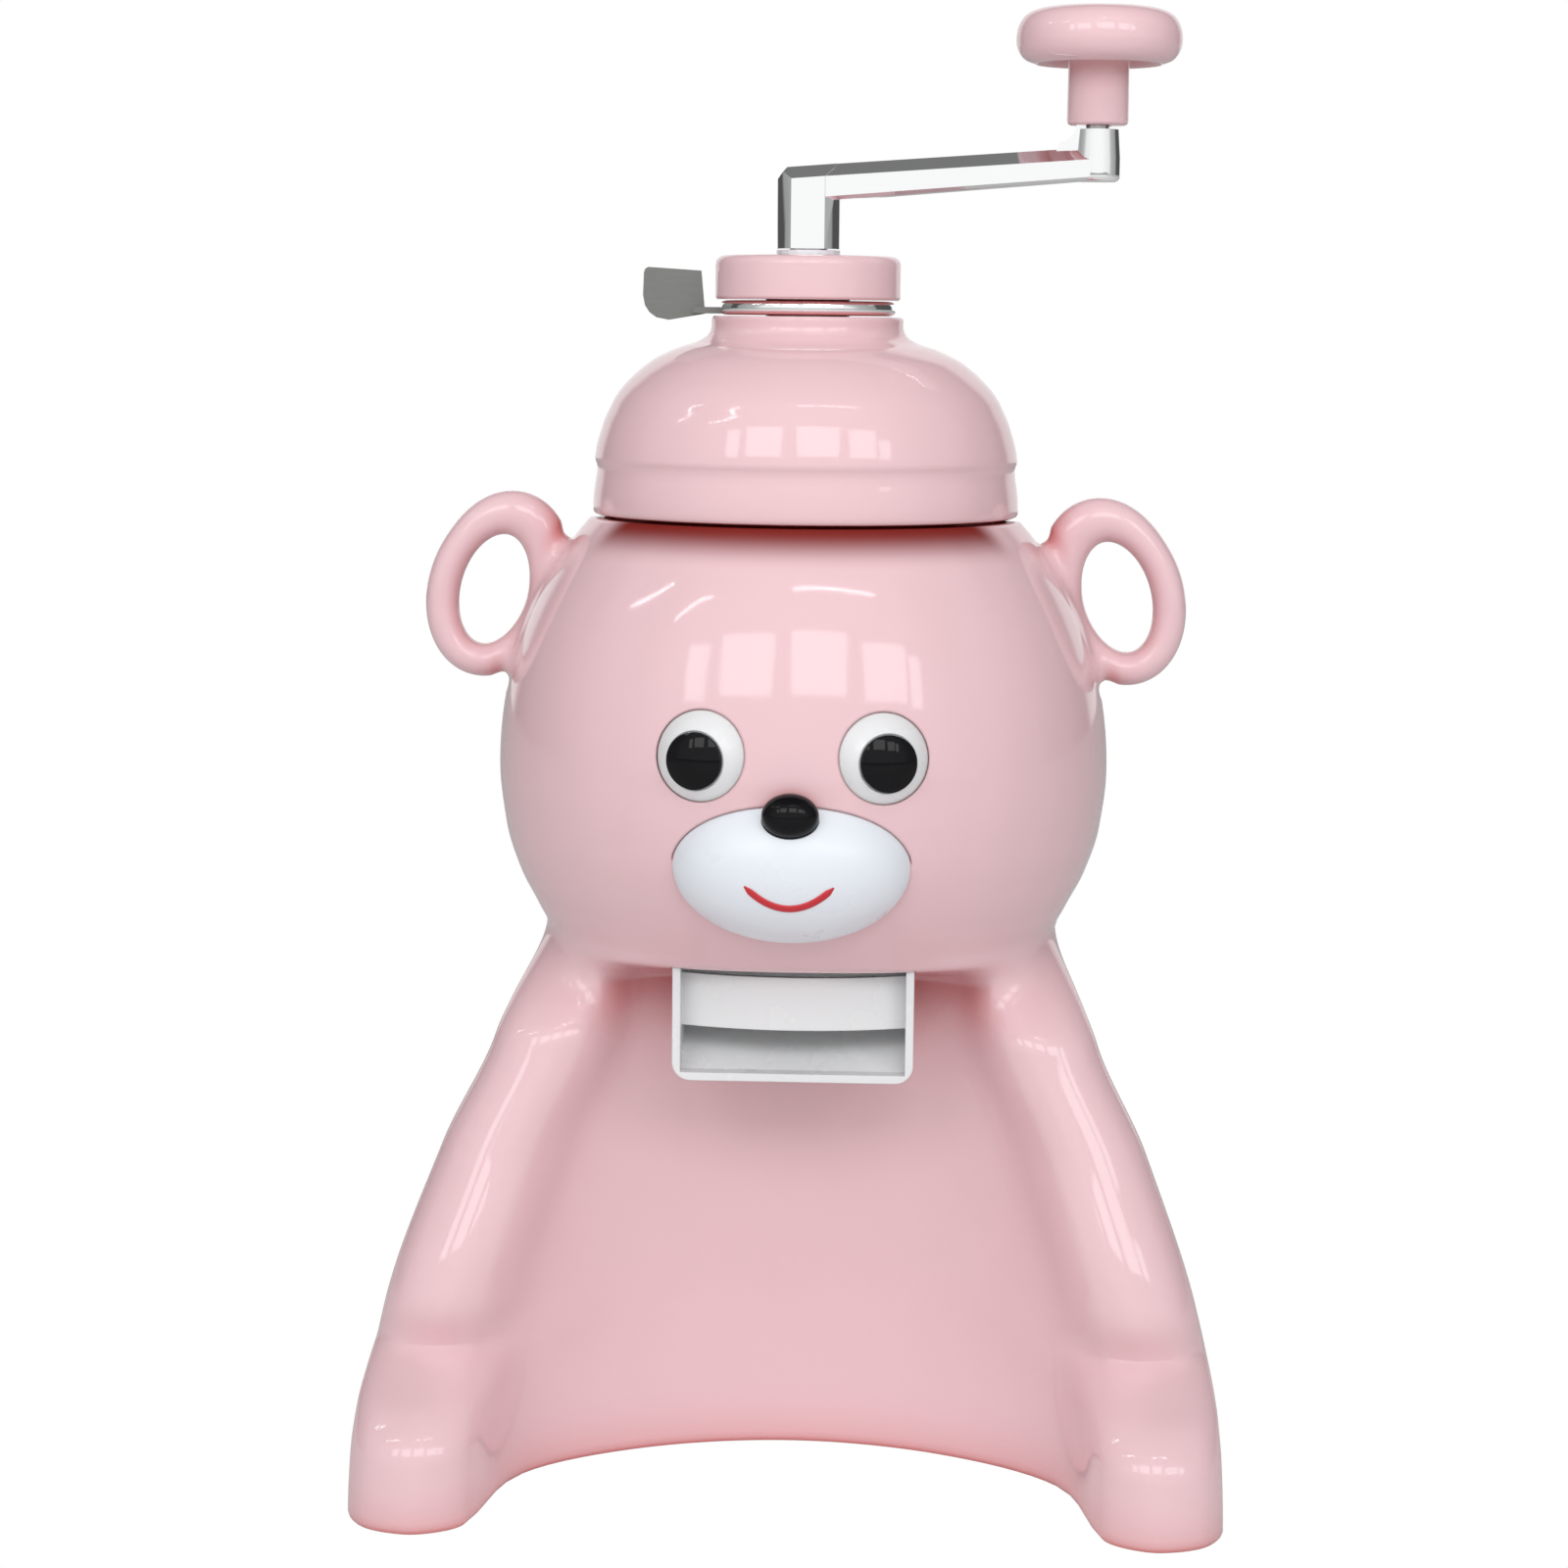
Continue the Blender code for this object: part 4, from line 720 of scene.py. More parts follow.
def show(thing, body, look, nodes=(), angle=38.0, bevel=0.0):
    """Finish a piece: material, shading, the body it rides on and what it stands for."""
    thing.data.materials.clear()
    thing.data.materials.append(LOOKS[look])
    thing.data.shade_smooth()
    thing.data.set_sharp_from_angle(angle=math.radians(angle))
    if bevel:
        edge = thing.modifiers.new("edge", "BEVEL")
        edge.width = bevel * MM
        edge.segments = 3
        edge.limit_method = "ANGLE"
        edge.angle_limit = math.radians(30)
        edge.harden_normals = True
    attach(thing, body)
    if nodes:
        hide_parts(*nodes)
    return thing


def make_eyes():
    """The eye balls with their tails and pegs, and the pupils that sit in them."""
    for _, word, place in eye_places():
        body = "eye_" + word
        ahead = Vector((place.x, place.y, 0)).normalized()
        white = egg("eye_ball_" + word, place, (EYE_RADIUS,) * 3, 64, 128)
        low, high = (place.x - 30, place.y - 30, 100), (place.x + 30, place.y + 6.0, 260)
        boolean(white, block("eye_keep", low, high), "INTERSECT")
        bar_y = place.y + EYE_TAIL
        low, high = (place.x - 1.6, place.y + 4.0, place.z - 3.5), (place.x + 1.6, bar_y - 2.15, place.z + 3.5)
        boolean(white, block("eye_tail", low, high), "UNION")
        low, high = (place.x, place.y + 8, place.z), (place.x, bar_y + 1.9, place.z)
        boolean(white, rod("eye_peg", low, high, 1.2, 24), "UNION")
        up = Vector((0, 0, (EYE_RADIUS + 2.5) * 1.2))
        boolean(white, rod("eye_pin_bore", place - up, place + up, EYE_PIN_RADIUS + GAP, 24))
        seat = place + ahead * (EYE_RADIUS - 2.5)
        boolean(white, rod("pupil_seat", seat, seat + ahead * 20, PUPIL_RADIUS + GAP, 96))
        show(white, body, "white", ("eye_white_" + word,))
        grown = EYE_RADIUS + PUPIL_RISE
        pupil = egg("pupil_dome_" + word, place, (grown,) * 3, 160, 160)
        boolean(pupil, rod("pupil_keep", seat + ahead * GAP, seat + ahead * 20, PUPIL_RADIUS, 96), "INTERSECT")
        show(pupil, body, "black", ("pupil_" + word,), bevel=0.35)


def make_muzzle():
    """The hollow muzzle with the nose and the mouth line."""
    muzzle = muzzle_solid("muzzle_skin", 0.0, MUZZLE_BACK)
    half = (MUZZLE_HALF_WIDE - WALL, MUZZLE_DEEP - WALL, MUZZLE_HALF_TALL - WALL)
    boolean(muzzle, egg("muzzle_room", (0, MUZZLE_CENTRE_Y, MUZZLE_Z), half, 24, 48))
    boolean(muzzle, nose_solid("nose_seat", GAP))
    for _, _, place in eye_places():
        boolean(muzzle, egg("eye_room", place, (EYE_RADIUS + RUN_GAP,) * 3, 48, 96))
    show(muzzle, "root", "muzzle", ("muzzle",))
    show(nose_solid("nose_bead"), "root", "black", ("nose",))
    show(mouth_line(), "root", "red", ())


def mouth_line():
    """A thin raised smile that lies on the muzzle."""
    points = []
    for k in range(33):
        t = k / 16 - 1
        x, z = MOUTH_HALF * t, MOUTH_Z + MOUTH_RISE * t * t
        level = (x / MUZZLE_HALF_WIDE) ** 2 + ((z - MUZZLE_Z) / MUZZLE_HALF_TALL) ** 2
        points.append(Vector((x, MUZZLE_CENTRE_Y - MUZZLE_DEEP * math.sqrt(1 - level), z)))
    rings = []
    for k, place in enumerate(points):
        way = (points[min(k + 1, 32)] - points[max(k - 1, 0)]).normalized()
        out = (place - Vector((0, MUZZLE_CENTRE_Y, MUZZLE_Z))).normalized()
        across = way.cross(out).normalized()
        end = min(1.0, 0.25 + min(k, 32 - k) * 0.35)
        rings.append([
            place + across * (MOUTH_THICK * end * math.cos(a)) + out * (0.45 * end * math.sin(a))
            for a in (2 * math.pi * i / 16 for i in range(16))
        ])
    return loft("mouth", rings)


def make_lid():
    """The round hat: a dome that runs through a soft hollow into a lip, and a neck."""
    rim, wall = LID_RADIUS - 0.2, LID_WALL
    spigot = 10.9
    dome = LID_BASE + 12.0
    outer = [(rim - 1.7, LID_BASE), (rim - 0.9, LID_BASE + 0.05)]
    outer += [(rim - 0.35, LID_BASE + 0.3), (rim - 0.05, LID_BASE + 0.9)]
    lip = [(1.6, 0.0), (4.0, 0.05), (6.5, 0.3), (8.5, 0.6), (10.0, 0.85), (11.6, 0.95)]
    lip += [(12.8, 0.8), (13.6, 0.5), (14.1, 0.4)]
    lip = [(LID_BASE + rise, rim - inset) for rise, inset in lip]
    outer += [(value, z) for z, value in smooth_stations(lip, 5)]
    crown = [(14.5, 0.4), (16.5, 0.7), (19.0, 1.3), (21.5, 2.05), (24.0, 2.9), (26.6, 4.1), (29.2, 5.4), (31.8, 7.2)]
    crown += [(34.3, 9.5), (36.9, 12.4), (39.5, 16.1), (42.0, 21.5)]
    crown = [(LID_BASE + rise, rim - inset) for rise, inset in crown]
    crown += [(LID_BASE + rise, NECK_RADIUS + more) for rise, more in ((43.4, 3.9), (44.9, 1.2), (46.8, 0.1))]
    crown += [(NECK_TOP - 0.6, NECK_RADIUS)]
    outer += [(value, z) for z, value in smooth_stations(crown, 6)]
    outer += [(NECK_RADIUS - 0.5, NECK_TOP)]
    inner = [
        (spigot, NECK_TOP),
        (spigot, NECK_TOP - wall),
        (NECK_RADIUS - wall, NECK_TOP - wall),
        (NECK_RADIUS - wall, dome + 31.6),
        (rim - 22.2, dome + 27.3),
        (rim - 13.8, dome + 22.0),
        (CHAMBER_RADIUS + 1.6, dome + 18.0),
        (CHAMBER_RADIUS + 1.6, LID_SEAT),
        (CHAMBER_RADIUS + 4.6, LID_SEAT),
        (CHAMBER_RADIUS + 4.6, dome + 12.4),
        (rim - 4.4, dome + 7.0),
        (rim - 3.6, dome),
        (rim - wall, LID_BASE + 8.0),
        (rim - wall, LID_BASE),
    ]
    show(turned("lid_skin", outer + inner, 2 * ROUND), "lid", "pink", ("lid",))


def smooth_stations(stations, count):
    """Points with a smooth radius between (height, radius) stations."""
    made = []
    for (low, _), (high, _) in zip(stations, stations[1:]):
        for k in range(count):
            z = low + (high - low) * k / count
            made.append((z, rounded_through(stations, z)))
    return made + [stations[-1]]


def rounded_through(stations, z):
    """A smooth curve through the stations that also keeps its slope at both ends."""
    k = max(i for i in range(len(stations) - 1) if stations[i][0] <= z + 1e-9)

    def slope(i):
        i0, i1 = max(0, i - 1), min(len(stations) - 1, i + 1)
        return (stations[i1][1] - stations[i0][1]) / (stations[i1][0] - stations[i0][0])

    (low, a), (high, b) = stations[k], stations[k + 1]
    wide = high - low
    return cubic((z - low) / wide, a, wide * slope(k), b, wide * slope(k + 1))


def make_neck():
    ring_low = NECK_TOP + GAP
    ring_high = ring_low + RING_THICK
    cap_low = ring_high + GAP
    spigot = 10.6
    bush = SHAFT_RADIUS + RUN_GAP + 2.2
    profile = [(bush + GAP, NECK_TOP - 4.0), (spigot, NECK_TOP - 4.0), (spigot, cap_low), (CAP_RADIUS - 0.5, cap_low)]
    profile += [(CAP_RADIUS, cap_low + 0.5)]
    profile += arc((CAP_RADIUS - 2.2, CAP_TOP - 2.2), 2.2, 0, 90, 10)
    profile += [(bush + GAP, CAP_TOP)]
    show(turned("cap_skin", profile, 2 * ROUND), "lid", "pink", ("cap",))
    ring_profile = [(spigot + RUN_GAP, ring_low), (RING_RADIUS - 1.6, ring_low)]
    ring_profile += arc((RING_RADIUS - 1.6, ring_low + 1.6), 1.6, -80, 0, 6)
    ring_profile += arc((RING_RADIUS - 1.6, ring_high - 1.6), 1.6, 0, 80, 6)
    ring_profile += [(RING_RADIUS - 1.6, ring_high), (spigot + RUN_GAP, ring_high)]
    ring = turned("lever_ring", ring_profile, 2 * ROUND)
    show(ring, "release_lever", "chrome", ("release_lever",))
    tongue = block("lever_tongue", (-TAB_NEAR - 2, -3.5, ring_low + 0.3), (3 - RING_RADIUS, 3.5, ring_low + 1.9))
    tab = [(-TAB_NEAR, TAB_TOP - 0.8)]
    tab += [(1.3 - TAB_FAR, TAB_TOP), (0.5 - TAB_FAR, TAB_TOP - 0.5), (0.2 - TAB_FAR, TAB_TOP - 1.4)]
    tab += [(-TAB_FAR, TAB_TOP - 7.0), (0.5 - TAB_FAR, TAB_TOP - 9.6), (1.7 - TAB_FAR, TAB_TOP - 11.4)]
    tab += [(3.4 - TAB_FAR, TAB_TOP - 12.6), (6.5 - TAB_FAR, TAB_TOP - 13.2), (1.0 - TAB_NEAR, ring_low + 0.2)]
    plate = loft("lever_tab", [[(x, y, z) for x, z in tab] for y in (-TAB_THICK / 2, TAB_THICK / 2)])
    boolean(plate, tongue, "UNION")
    show(plate, "release_lever", "satin", ("release_lever",), 30, 0.3)


def make_crank():
    """The cast crank: an upright hub and an arm with sloped edges, and a round post."""
    hub_low = CAP_TOP + GAP + 1.2 + GAP
    arm_z = HUB_TOP - ARM_TALL / 2 - 0.6
    rise = POST_TOP - POST_TALL + ARM_TALL / 2 - arm_z
    slope = rise / CRANK_REACH
    corner = ((HUB_WIDE, 1.2), (HUB_WIDE - 1.7, 5.2), (HUB_WIDE - 4.0, ARM_HALF))
    outline = [(x, -y) for x, y in corner] + [(-x, -y) for x, y in reversed(corner)]
    outline += [(-x, y) for x, y in corner] + [(x, y) for x, y in reversed(corner)]
    hub = loft("crank_skin", [[(x, y, z) for x, y in outline] for z in (hub_low, HUB_TOP + 3.0)])
    sections = []
    for share in (0.0, 1.0):
        x, z = share * CRANK_REACH, arm_z + rise * share
        deep, tall = ARM_HALF - 1.6 * share, ARM_TALL / 2 - 0.4 * share
        half = [(deep - 1.5, -tall), (deep, 0.9 - tall), (deep, tall - ARM_SLOPE), (deep - ARM_SLOPE, tall)]
        sections.append([(x, y, z + w) for y, w in half] + [(x, -y, z + w) for y, w in reversed(half)])
    arm = loft("arm_bar", sections)
    top = arm_z + ARM_TALL / 2
    roof = []
    for y in (-30, ARM_SLOPE - ARM_HALF, ARM_HALF - ARM_SLOPE, 30):
        drop = max(0.0, abs(y) - ARM_HALF + ARM_SLOPE)
        roof.append([(x, y, top + slope * x - drop) for x in (-30, 30)] + [(x, y, 400) for x in (30, -30)])
    boolean(hub, loft("hub_roof", roof))
    boolean(hub, arm, "UNION")
    left = [(-30, top - 30), (ARM_SLOPE - HUB_WIDE, top + ARM_SLOPE - 3.2), (ARM_SLOPE - HUB_WIDE, 400), (-30, 400)]
    boolean(hub, loft("hub_end", [[(x, y, z) for x, z in left] for y in (-30, 30)]))
    post_low = POST_TOP - POST_TALL
    profile = [(0, post_low)] + arc((POST_RADIUS - 1.8, post_low + 1.8), 1.8, -80, 0, 5)
    profile += [(POST_RADIUS, post_low + 6.0), (POST_RADIUS - 0.5, POST_TOP), (0, POST_TOP)]
    boolean(hub, turned("arm_post", profile, 64, (CRANK_REACH, 0, 0)), "UNION")
    near, low = CRANK_REACH - POST_RADIUS, post_low + ARM_TALL - 1.0
    web = [(near + 3, low - 2), (near + 3, low + 6.5)] + arc((near - 4.2, low + 6.5), 4.9, 0, -80, 8)
    web += [(near - 5.0, low - 2)]
    boolean(hub, loft("post_web", [[(x, y, z) for x, z in web] for y in (-3.2, 3.2)]), "UNION")
    boolean(hub, rod("shaft_socket", (0, 0, hub_low - 5), (0, 0, hub_low + 16.3), SOCKET_RADIUS, 32))
    low, high = (CRANK_REACH, 0, post_low + 3.2), (CRANK_REACH, 0, POST_TOP + 5)
    boolean(hub, rod("pin_socket", low, high, KNOB_PIN_RADIUS + GAP, 32))
    show(hub, "crank", "chrome", ("crank_arm",), 28, 0.45)


def make_knob():
    """The knob: a flattened ball over a sleeve, hollowed where they meet."""
    base = POST_TOP + 1.0
    disc = KNOB_TOP - KNOB_DISC
    bore = KNOB_PIN_RADIUS + 0.4
    ceiling = KNOB_TOP - 6.0
    profile = [
        (0, ceiling),
        (bore, ceiling),
        (bore, base),
        (SLEEVE_RADIUS - 0.9, base),
        (SLEEVE_RADIUS - 0.25, base + 0.35),
        (SLEEVE_RADIUS, base + 1.1),
        (SLEEVE_RADIUS - 0.1, disc - 1.0),
        (SLEEVE_RADIUS + 0.2, disc + 1.6),
        (SLEEVE_RADIUS + 1.2, disc + 3.0),
        (KNOB_RADIUS - 8.0, disc + 2.8),
        (KNOB_RADIUS - 6.4, disc + 0.8),
    ]
    rim = [(5.0, 0.0), (2.6, 0.06), (1.1, 0.16), (0.25, 0.29), (0.0, 0.42), (0.2, 0.58)]
    rim += [(0.9, 0.72), (2.1, 0.84)]
    rim += [(4.0, 0.925), (6.6, 0.975), (10.0, 0.995)]
    profile += [(KNOB_RADIUS - inward, disc + share * KNOB_DISC) for inward, share in curved(rim, 4)]
    profile += [(0, KNOB_TOP)]
    knob = turned("knob_skin", profile, 2 * ROUND, (CRANK_REACH, 0, 0))
    show(knob, "knob", "pink", ("crank_knob",))


def curved(points, count):
    """More points on a smooth curve through the given ones."""
    made = []
    last = len(points) - 1
    for k in range(last):
        p = [Vector(points[min(last, max(0, k + i))]) for i in (-1, 0, 1, 2)]
        for i in range(count):
            t = i / count
            made.append(tuple(0.5 * (
                2 * p[1] + (p[2] - p[0]) * t + (2 * p[0] - 5 * p[1] + 4 * p[2] - p[3]) * t**2
                + (3 * p[1] - p[0] - 3 * p[2] + p[3]) * t**3
            )))
    return made + [tuple(points[last])]


def make_chute():
    """The outlet: two sides and a floor, and a bowed plate over the upper front."""
    half = CHUTE_WIDE / 2
    side = [
        (CHUTE_FRONT, CHUTE_BOTTOM),
        (CHUTE_FRONT + 4.0, CHUTE_BOTTOM),
        (CHUTE_REAR, CHUTE_FLOOR_REAR - CHUTE_WALL),
        (CHUTE_REAR, DECK_TOP),
        (CHUTE_FRONT, DECK_TOP),
    ]
    chute = loft("chute_skin", [[(x, y, z) for y, z in side] for x in (-half, half)])
    inset = half - CHUTE_CORNER
    front = [(half, DECK_TOP + 2), (-half, DECK_TOP + 2)]
    front += arc((-inset, CHUTE_BOTTOM + CHUTE_CORNER), CHUTE_CORNER, 180, 270, 12)
    front += arc((inset, CHUTE_BOTTOM + CHUTE_CORNER), CHUTE_CORNER, 270, 360, 12)
    ends = (CHUTE_FRONT - 5, CHUTE_REAR + 5)
    boolean(chute, loft("chute_outline", [[(x, y, z) for x, z in front] for y in ends]), "INTERSECT")
    floor, inner = CHUTE_BOTTOM + CHUTE_WALL, half - CHUTE_WALL
    room = [
        (CHUTE_FRONT - 3, floor),
        (CHUTE_FRONT + 4.5, floor),
        (CHUTE_REAR - CHUTE_WALL, CHUTE_FLOOR_REAR),
        (CHUTE_REAR - CHUTE_WALL, DECK_TOP + 2),
        (CHUTE_FRONT - 3, DECK_TOP + 2),
    ]
    boolean(chute, loft("chute_room", [[(x, y, z) for y, z in room] for x in (-inner, inner)]))
    plate = []
    for lean in (0.0, CHUTE_WALL):
        across = [(inner + CHUTE_WALL / 2) * (k / 20 - 1) for k in range(41)]
        edge = [(x, CHUTE_FRONT + 0.3 + lean + CHUTE_BOW * (x / inner) ** 2) for x in across]
        plate += edge if lean == 0 else reversed(edge)
    rings = [[(x, y, z) for x, y in plate] for z in (CHUTE_PLATE_LOW, CHUTE_PLATE_HIGH)]
    boolean(chute, triangulated(loft("chute_plate", rings)), "UNION")
    show(chute, "root", "white", ("chute",), 30, 0.5)


def wire(tree, made, inputs):
    """Set a node's inputs, each to a plain value or to another node's output."""
    for key, value in inputs.items():
        if isinstance(value, bpy.types.NodeSocket):
            tree.links.new(value, made.inputs[key])
        else:
            made.inputs[key].default_value = value
    return made


def node(tree, kind, inputs):
    """A new shader node with its inputs set."""
    return wire(tree, tree.nodes.new("ShaderNode" + kind), inputs)


def mapped(tree, value, start, end, low, high, course="LINEAR"):
    """The value, from low at start to high at end."""
    made = tree.nodes.new("ShaderNodeMapRange")
    made.interpolation_type = course
    wire(tree, made, {"Value": value, "From Min": start, "From Max": end, "To Min": low, "To Max": high})
    return made.outputs["Result"]


def mixed(tree, share, first, second, blend="MIX"):
    """A colour between two, of which each is a plain one or an output."""
    made = tree.nodes.new("ShaderNodeMix")
    made.data_type = "RGBA"
    made.blend_type = blend
    wire(tree, made, {"Factor": share, "A": first, "B": second})
    return made.outputs["Result"]


def surface(
    name, colour, rough, metallic=0.0, tint=0.03, tint_size=35.0, spread=0.05, bump=0.04,
    bump_size=900.0, rounding=0.0, milky=0.0, stretch=(1, 1, 1), reach=0.0, under=False, ior=1.5
):
    """A procedural finish: a slightly uneven colour and gloss, and a fine surface grain.

    reach is in millimetres: the colour is painted deeper in hollows, painted shade for the glow
    close faces throw on each other. under adds the painted shadow below the lid's edge.
    """
    made = bpy.data.materials.new(name)
    made.use_nodes = True
    tree = made.node_tree
    shader = tree.nodes["Principled BSDF"]
    wire(tree, shader, {"Metallic": metallic, "IOR": ior})
    if milky:
        wire(tree, shader, {"Subsurface Weight": milky, "Subsurface Scale": 0.002})
        wire(tree, shader, {"Subsurface Radius": (1.0, 0.7, 0.6)})
    place = node(tree, "TexCoord", {}).outputs["Object"]
    size = node(tree, "Mapping", {"Scale": stretch, "Vector": place}).outputs["Vector"]

    def noise(scale, detail):
        return node(tree, "TexNoise", {"Scale": scale, "Detail": detail, "Vector": size}).outputs["Fac"]

    least, most = rough * (1 - spread * 3), rough * (1 + spread * 3)
    gloss = mapped(tree, noise(tint_size * 2.2, 3.0), 0.3, 0.7, least, most)
    pale = tuple(min(1.0, c * (1 + tint)) for c in colour) + (1,)
    tinted = mixed(tree, noise(tint_size, 4.0), tuple(c * (1 - tint) for c in colour) + (1,), pale)
    # Painted shade: the colour turns deeper red in hollows and creases.
    if reach:
        tinted = paint_hollow_shade(tree, tinted, reach)
    # Painted shadow: a dark red band, with less gloss, below the lid's edge on the front.
    if under:
        tinted = paint_lid_shadow(tree, tinted, place)
    grain = node(tree, "Bump", {"Strength": bump, "Distance": 0.0002, "Height": noise(bump_size, 2.0)})
    if rounding:
        edge = node(tree, "Bevel", {"Radius": rounding * MM})
        edge.samples = 6
        wire(tree, grain, {"Normal": edge.outputs["Normal"]})
    wire(tree, shader, {"Base Color": tinted, "Roughness": gloss, "Normal": grain.outputs["Normal"]})
    return made


def paint_hollow_shade(tree, colour, reach):
    """Painted shade: the colour, turned towards a deeper red where the surface lies close to others."""
    hollow = node(tree, "AmbientOcclusion", {"Distance": reach * MM})
    hollow.samples = 8
    share = mapped(tree, hollow.outputs["AO"], 0.05, 0.9, 1.0, 0.0, "SMOOTHSTEP")
    return mixed(tree, share, colour, PAINTED_HOLLOW_SHADE + (1,))


def paint_lid_shadow(tree, colour, place):
    """Painted shadow: the colour, turned towards a dark red below the lid's edge, where the gloss is lowered too."""
    split = node(tree, "SeparateXYZ", {"Vector": place})
    share = 1.0
    for axis, start, end in LID_SHADOW_MASK:
        part = mapped(tree, split.outputs[axis], start * MM, end * MM, 0.0, 1.0, "SMOOTHERSTEP")
        times = node(tree, "Math", {0: share, 1: part})
        times.operation = "MULTIPLY"
        share = times.outputs["Value"]
    gloss = mapped(tree, share, 0.0, 1.0, 0.5, 0.0)
    wire(tree, tree.nodes["Principled BSDF"], {"Specular IOR Level": gloss})
    return mixed(tree, share, colour, PAINTED_LID_SHADOW + (1,))


def make_looks():
    """Every finish by its short name."""
    skin = {"tint": 0.015, "bump": 0.02, "rounding": 0.9}
    drawn = {"bump": 0.06, "tint_size": 120.0}
    return {
        # Both pinks get painted shade in their hollows; the body's pink also gets the painted shadow below the lid's
        # edge.
        "pink": surface("moulded pink", PINK, 0.07, reach=14.0, **skin),
        "body": surface("moulded pink body", PINK, 0.07, reach=24.0, under=True, **skin),
        "white": surface("white plastic", (0.78, 0.785, 0.795), 0.26, tint=0.01, rounding=0.5),
        "muzzle": surface("white muzzle", (0.76, 0.80, 0.85), 0.3, tint=0.008, rounding=0.3),
        "black": surface("black gloss", (0.004, 0.004, 0.005), 0.05, tint=0.2, bump=0.01, ior=1.26),
        "red": surface("red paint", (0.55, 0.02, 0.03), 0.35, tint=0.06, bump=0.08),
        "chrome": surface(
            "chrome plate", (0.97, 0.975, 0.98), 0.045, 1.0, tint=0.015, spread=0.2, bump=0.015, bump_size=300.0
        ),
        "satin": surface(
            "satin steel", (0.20, 0.205, 0.195), 0.42, 0.55, tint=0.08, tint_size=160.0, bump=0.08, stretch=(1, 1, 6)
        ),
        "steel": surface("machined steel", (0.56, 0.56, 0.55), 0.28, 1.0, tint=0.06, stretch=(1, 1, 8), **drawn),
        "cast": surface(
            "cast metal", (0.48, 0.48, 0.47), 0.45, 1.0, tint=0.1, tint_size=180.0, bump=0.25, bump_size=1400.0
        ),
        "brass": surface("brass", (0.74, 0.55, 0.25), 0.3, 1.0, tint=0.07, **drawn),
        "milky": surface("milky plastic", (0.80, 0.83, 0.86), 0.32, tint=0.02, milky=0.3),
        "rubber": surface(
            "rubber", (0.030, 0.028, 0.028), 0.75, tint=0.25, tint_size=300.0, bump=0.5, bump_size=2200.0
        ),
    }


CAD_LOOKS = {
    "steel": ("shell_screw_", "blade_screw_", "eye_pin_", "crank_shaft", "knob_pin", "blade", "eye_link_bar"),
    "cast": ("pusher_disc",),
    "brass": ("neck_bush", "half_nut"),
    "milky": ("ice_chamber", "crank_washer"),
    "white": ("nut_housing",),
    "rubber": ("front_foot_pad_", "rear_foot_pad_"),
}


def dress_cad_nodes():
    """The hidden and plain pieces keep their CAD shape and get a finish and soft edges."""
    for name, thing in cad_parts.items():
        if thing.hide_render:
            continue
        look = next(key for key, starts in CAD_LOOKS.items() if name.startswith(starts))
        if name == "blade_plate":
            look = "cast"
        thing.data.materials.clear()
        thing.data.materials.append(LOOKS[look])
        thing.data.shade_smooth()
        thing.data.set_sharp_from_angle(angle=math.radians(33))
        edge = thing.modifiers.new("edge", "BEVEL")
        edge.width = 0.25 * MM
        edge.segments = 2
        edge.limit_method = "ANGLE"
        edge.angle_limit = math.radians(40)


def lamp(name, place, aim, size, power):
    """A soft box: a flat light that the camera doesn't see."""
    data = bpy.data.lights.new(name, "AREA")
    data.shape = "RECTANGLE"
    data.size, data.size_y = size
    data.energy = power
    made = bpy.data.objects.new(name, data)
    bpy.context.scene.collection.objects.link(made)
    made.location = place
    made.rotation_euler = (Vector(aim) - Vector(place)).to_track_quat("-Z", "Y").to_euler()
    made.visible_camera = False
    return made


def levels_along(tree, value, stations):
    """Brightness by a direction's share, through (place, level) stations."""
    ramp = node(tree, "ValToRGB", {"Fac": mapped(tree, value, -1.0, 1.0, 0.0, 1.0)})
    ramp.color_ramp.interpolation = "EASE"
    stops = ramp.color_ramp.elements
    stops[0].position, stops[1].position = stations[0][0], stations[-1][0]
    for position, _ in stations[1:-1]:
        stops.new(position)
    for stop, (_, level) in zip(stops, stations):
        stop.color = (level, level, level, 1)
    return ramp.outputs["Color"]


def make_world():
    """The room: bright ahead of the object and behind it, dim at its sides and under the ceiling."""
    world = bpy.data.worlds.new("studio")
    bpy.context.scene.world = world
    world.use_nodes = True
    tree = world.node_tree
    split = node(tree, "SeparateXYZ", {"Vector": node(tree, "TexCoord", {}).outputs["Generated"]})
    round_way, up_way = (levels_along(tree, split.outputs[axis], s) for axis, s in (("Y", ROOM), ("Z", CEILING)))
    room = mixed(tree, 1.0, round_way, up_way, "MULTIPLY")
    seen = node(tree, "LightPath", {}).outputs["Is Camera Ray"]
    wire(tree, tree.nodes["Background"], {"Color": mixed(tree, seen, room, (1, 1, 1, 1))})


def make_floor():
    """A pale floor that shows as plain white to the camera."""
    floor = block("floor", (-4000, -4000, -6), (4000, 4000, -1))
    look = bpy.data.materials.new("pale floor")
    look.use_nodes = True
    tree = look.node_tree
    pale = wire(tree, tree.nodes["Principled BSDF"], {"Base Color": (0.86, 0.86, 0.86, 1), "Roughness": 0.8})
    seen = node(tree, "LightPath", {}).outputs["Is Camera Ray"]
    glow = node(tree, "Emission", {"Color": (1, 1, 1, 1)}).outputs["Emission"]
    mix = node(tree, "MixShader", {"Fac": seen, 1: pale.outputs["BSDF"], 2: glow})
    wire(tree, tree.nodes["Material Output"], {"Surface": mix.outputs["Shader"]})
    floor.data.materials.append(look)


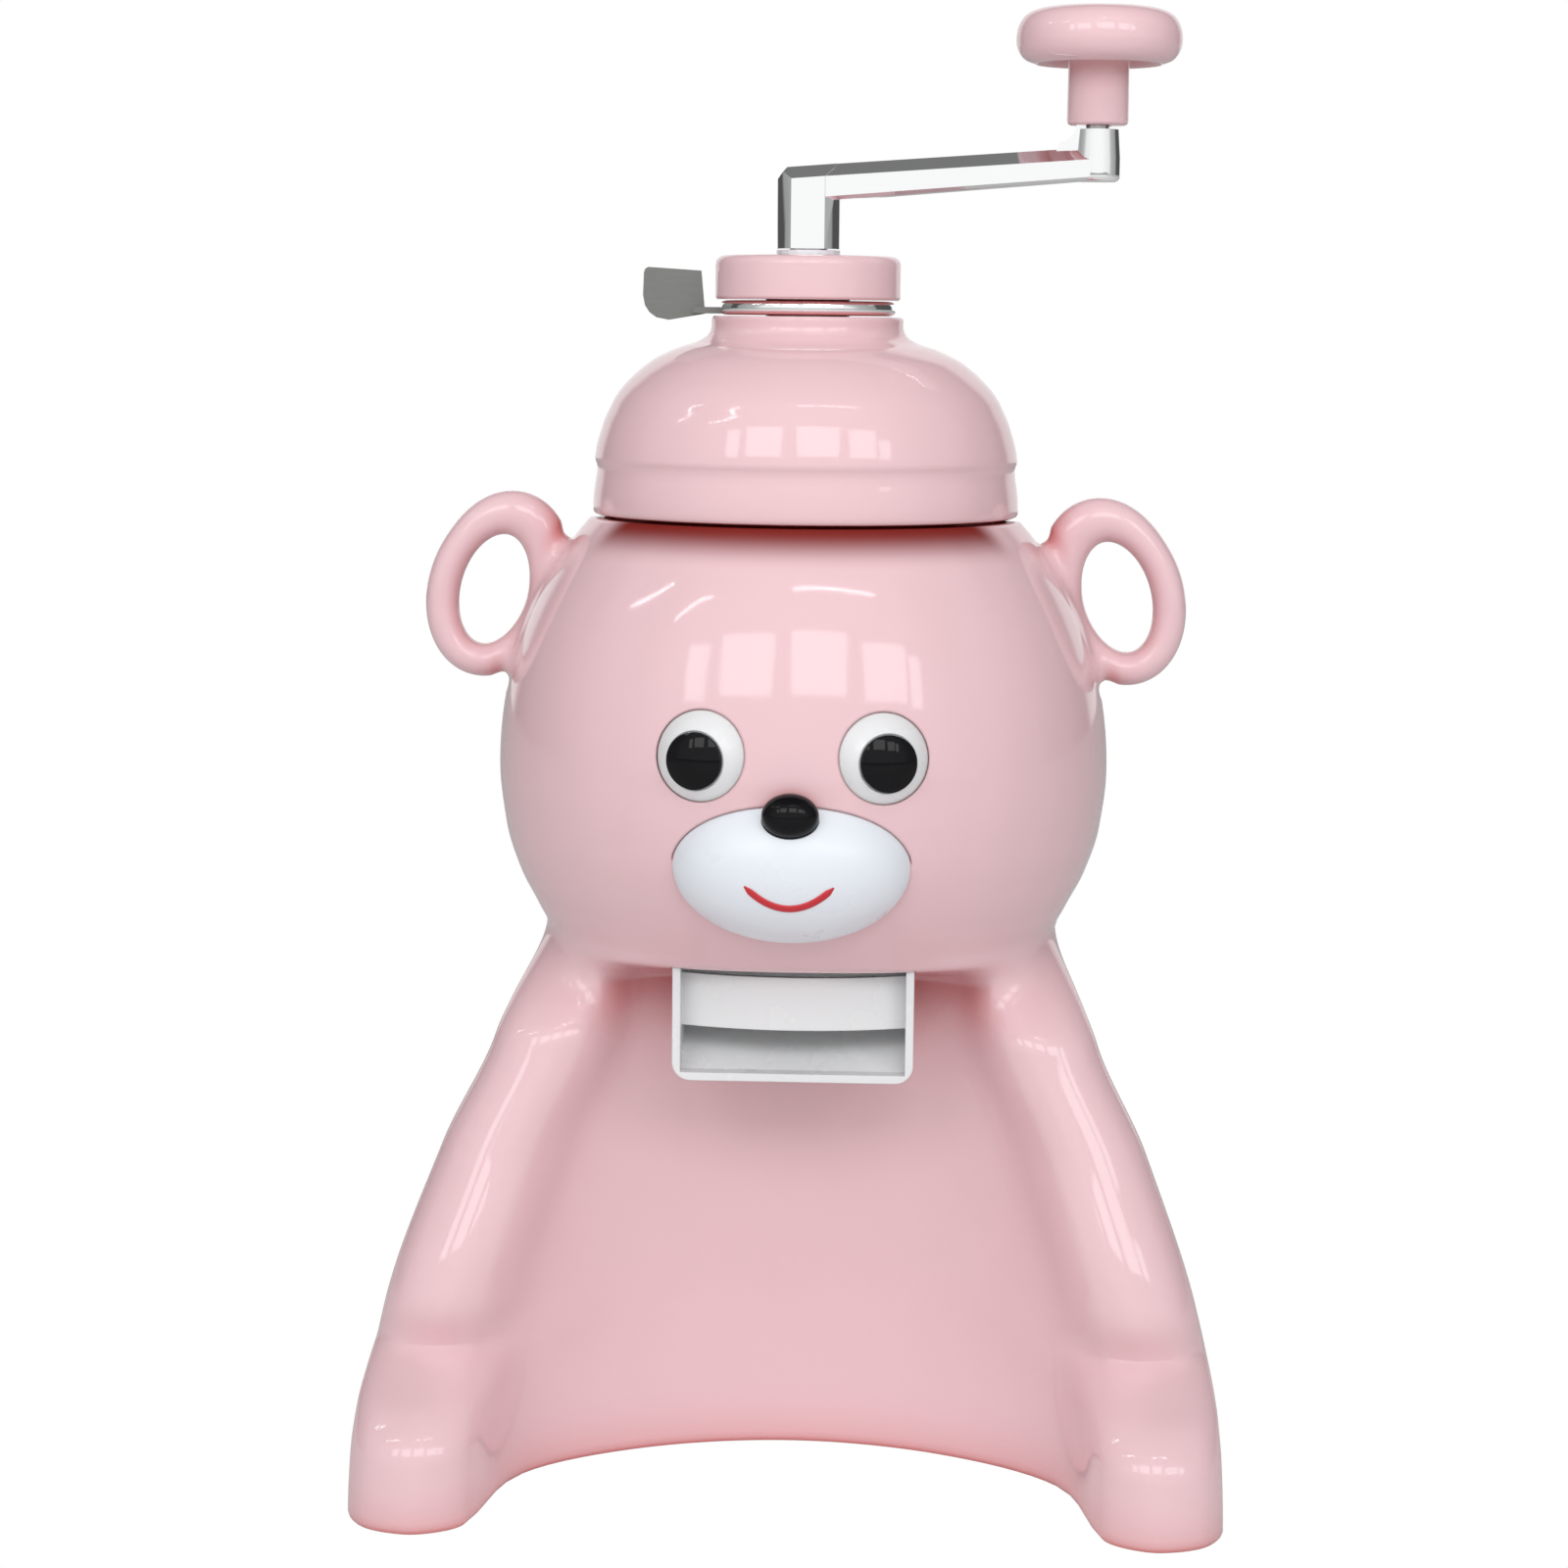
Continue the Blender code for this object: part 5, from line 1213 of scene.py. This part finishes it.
def towards(turn, rise):
    """The place of a tube's end, in the given direction from the head."""
    turn, rise = math.radians(turn), math.radians(rise)
    way = Vector((math.sin(turn) * math.cos(rise), -math.cos(turn) * math.cos(rise), math.sin(rise)))
    return HEAD_PLACE + way * TUBE_FAR


def make_lights():
    """A fill light that leaves no reflection, the windows and the lamp tubes."""
    fill = lamp("overhead", (0, -0.5, 1.6), (0, 0, 0.2), (1.2, 0.8), 3.5)
    fill.visible_glossy = False
    for k, (x, wide) in enumerate(PANES):
        power = PANE_GLOW * wide * PANE_TALL
        lamp(f"window_{k}", (x, PANE_Y, PANE_Z), (x * 0.6, 0, 0.22), (wide, PANE_TALL), power)
    for k, ends in enumerate(TUBES):
        start, end = (towards(turn, rise) for turn, rise in ends)
        middle, along = (start + end) / 2, (end - start).normalized()
        size = ((end - start).length, TUBE_THICK)
        made = lamp(f"tube_{k}", middle, HEAD_PLACE, size, TUBE_GLOW * size[0] * size[1])
        up = (middle - HEAD_PLACE).cross(along).normalized()
        made.rotation_euler = Matrix((along, up, along.cross(up))).transposed().to_euler()


def make_camera():
    """The photograph's own viewpoint, found from the shapes in it."""
    far, height, pan = 0.875, 0.288, 19 / 3500
    down, round_way, roll = (math.radians(angle) for angle in (7.57, 2.0, 0.6))
    eye = Vector((far * math.sin(round_way), -far * math.cos(round_way), height))
    turn = round_way + pan
    ahead = Vector((-math.sin(turn) * math.cos(down), math.cos(turn) * math.cos(down), -math.sin(down)))
    right = ahead.cross(Vector((0, 0, 1))).normalized()
    up = right.cross(ahead)
    c, s = math.cos(roll), math.sin(roll)
    matrix = Matrix((c * right + s * up, c * up - s * right, -ahead)).transposed().to_4x4()
    matrix.translation = eye
    data = bpy.data.cameras.new("photo view")
    data.lens = 78.75
    data.sensor_width = 36
    data.clip_start = 0.05
    data.clip_end = 20
    made = bpy.data.objects.new("photo view", data)
    made.matrix_world = matrix
    bpy.context.scene.collection.objects.link(made)
    bpy.context.scene.camera = made


LOOKS = make_looks()
make_body()
make_eyes()
make_muzzle()
make_chute()
make_lid()
make_neck()
make_crank()
make_knob()
dress_cad_nodes()
make_world()
make_floor()
make_lights()
make_camera()
bpy.context.scene.view_settings.view_transform = "Standard"
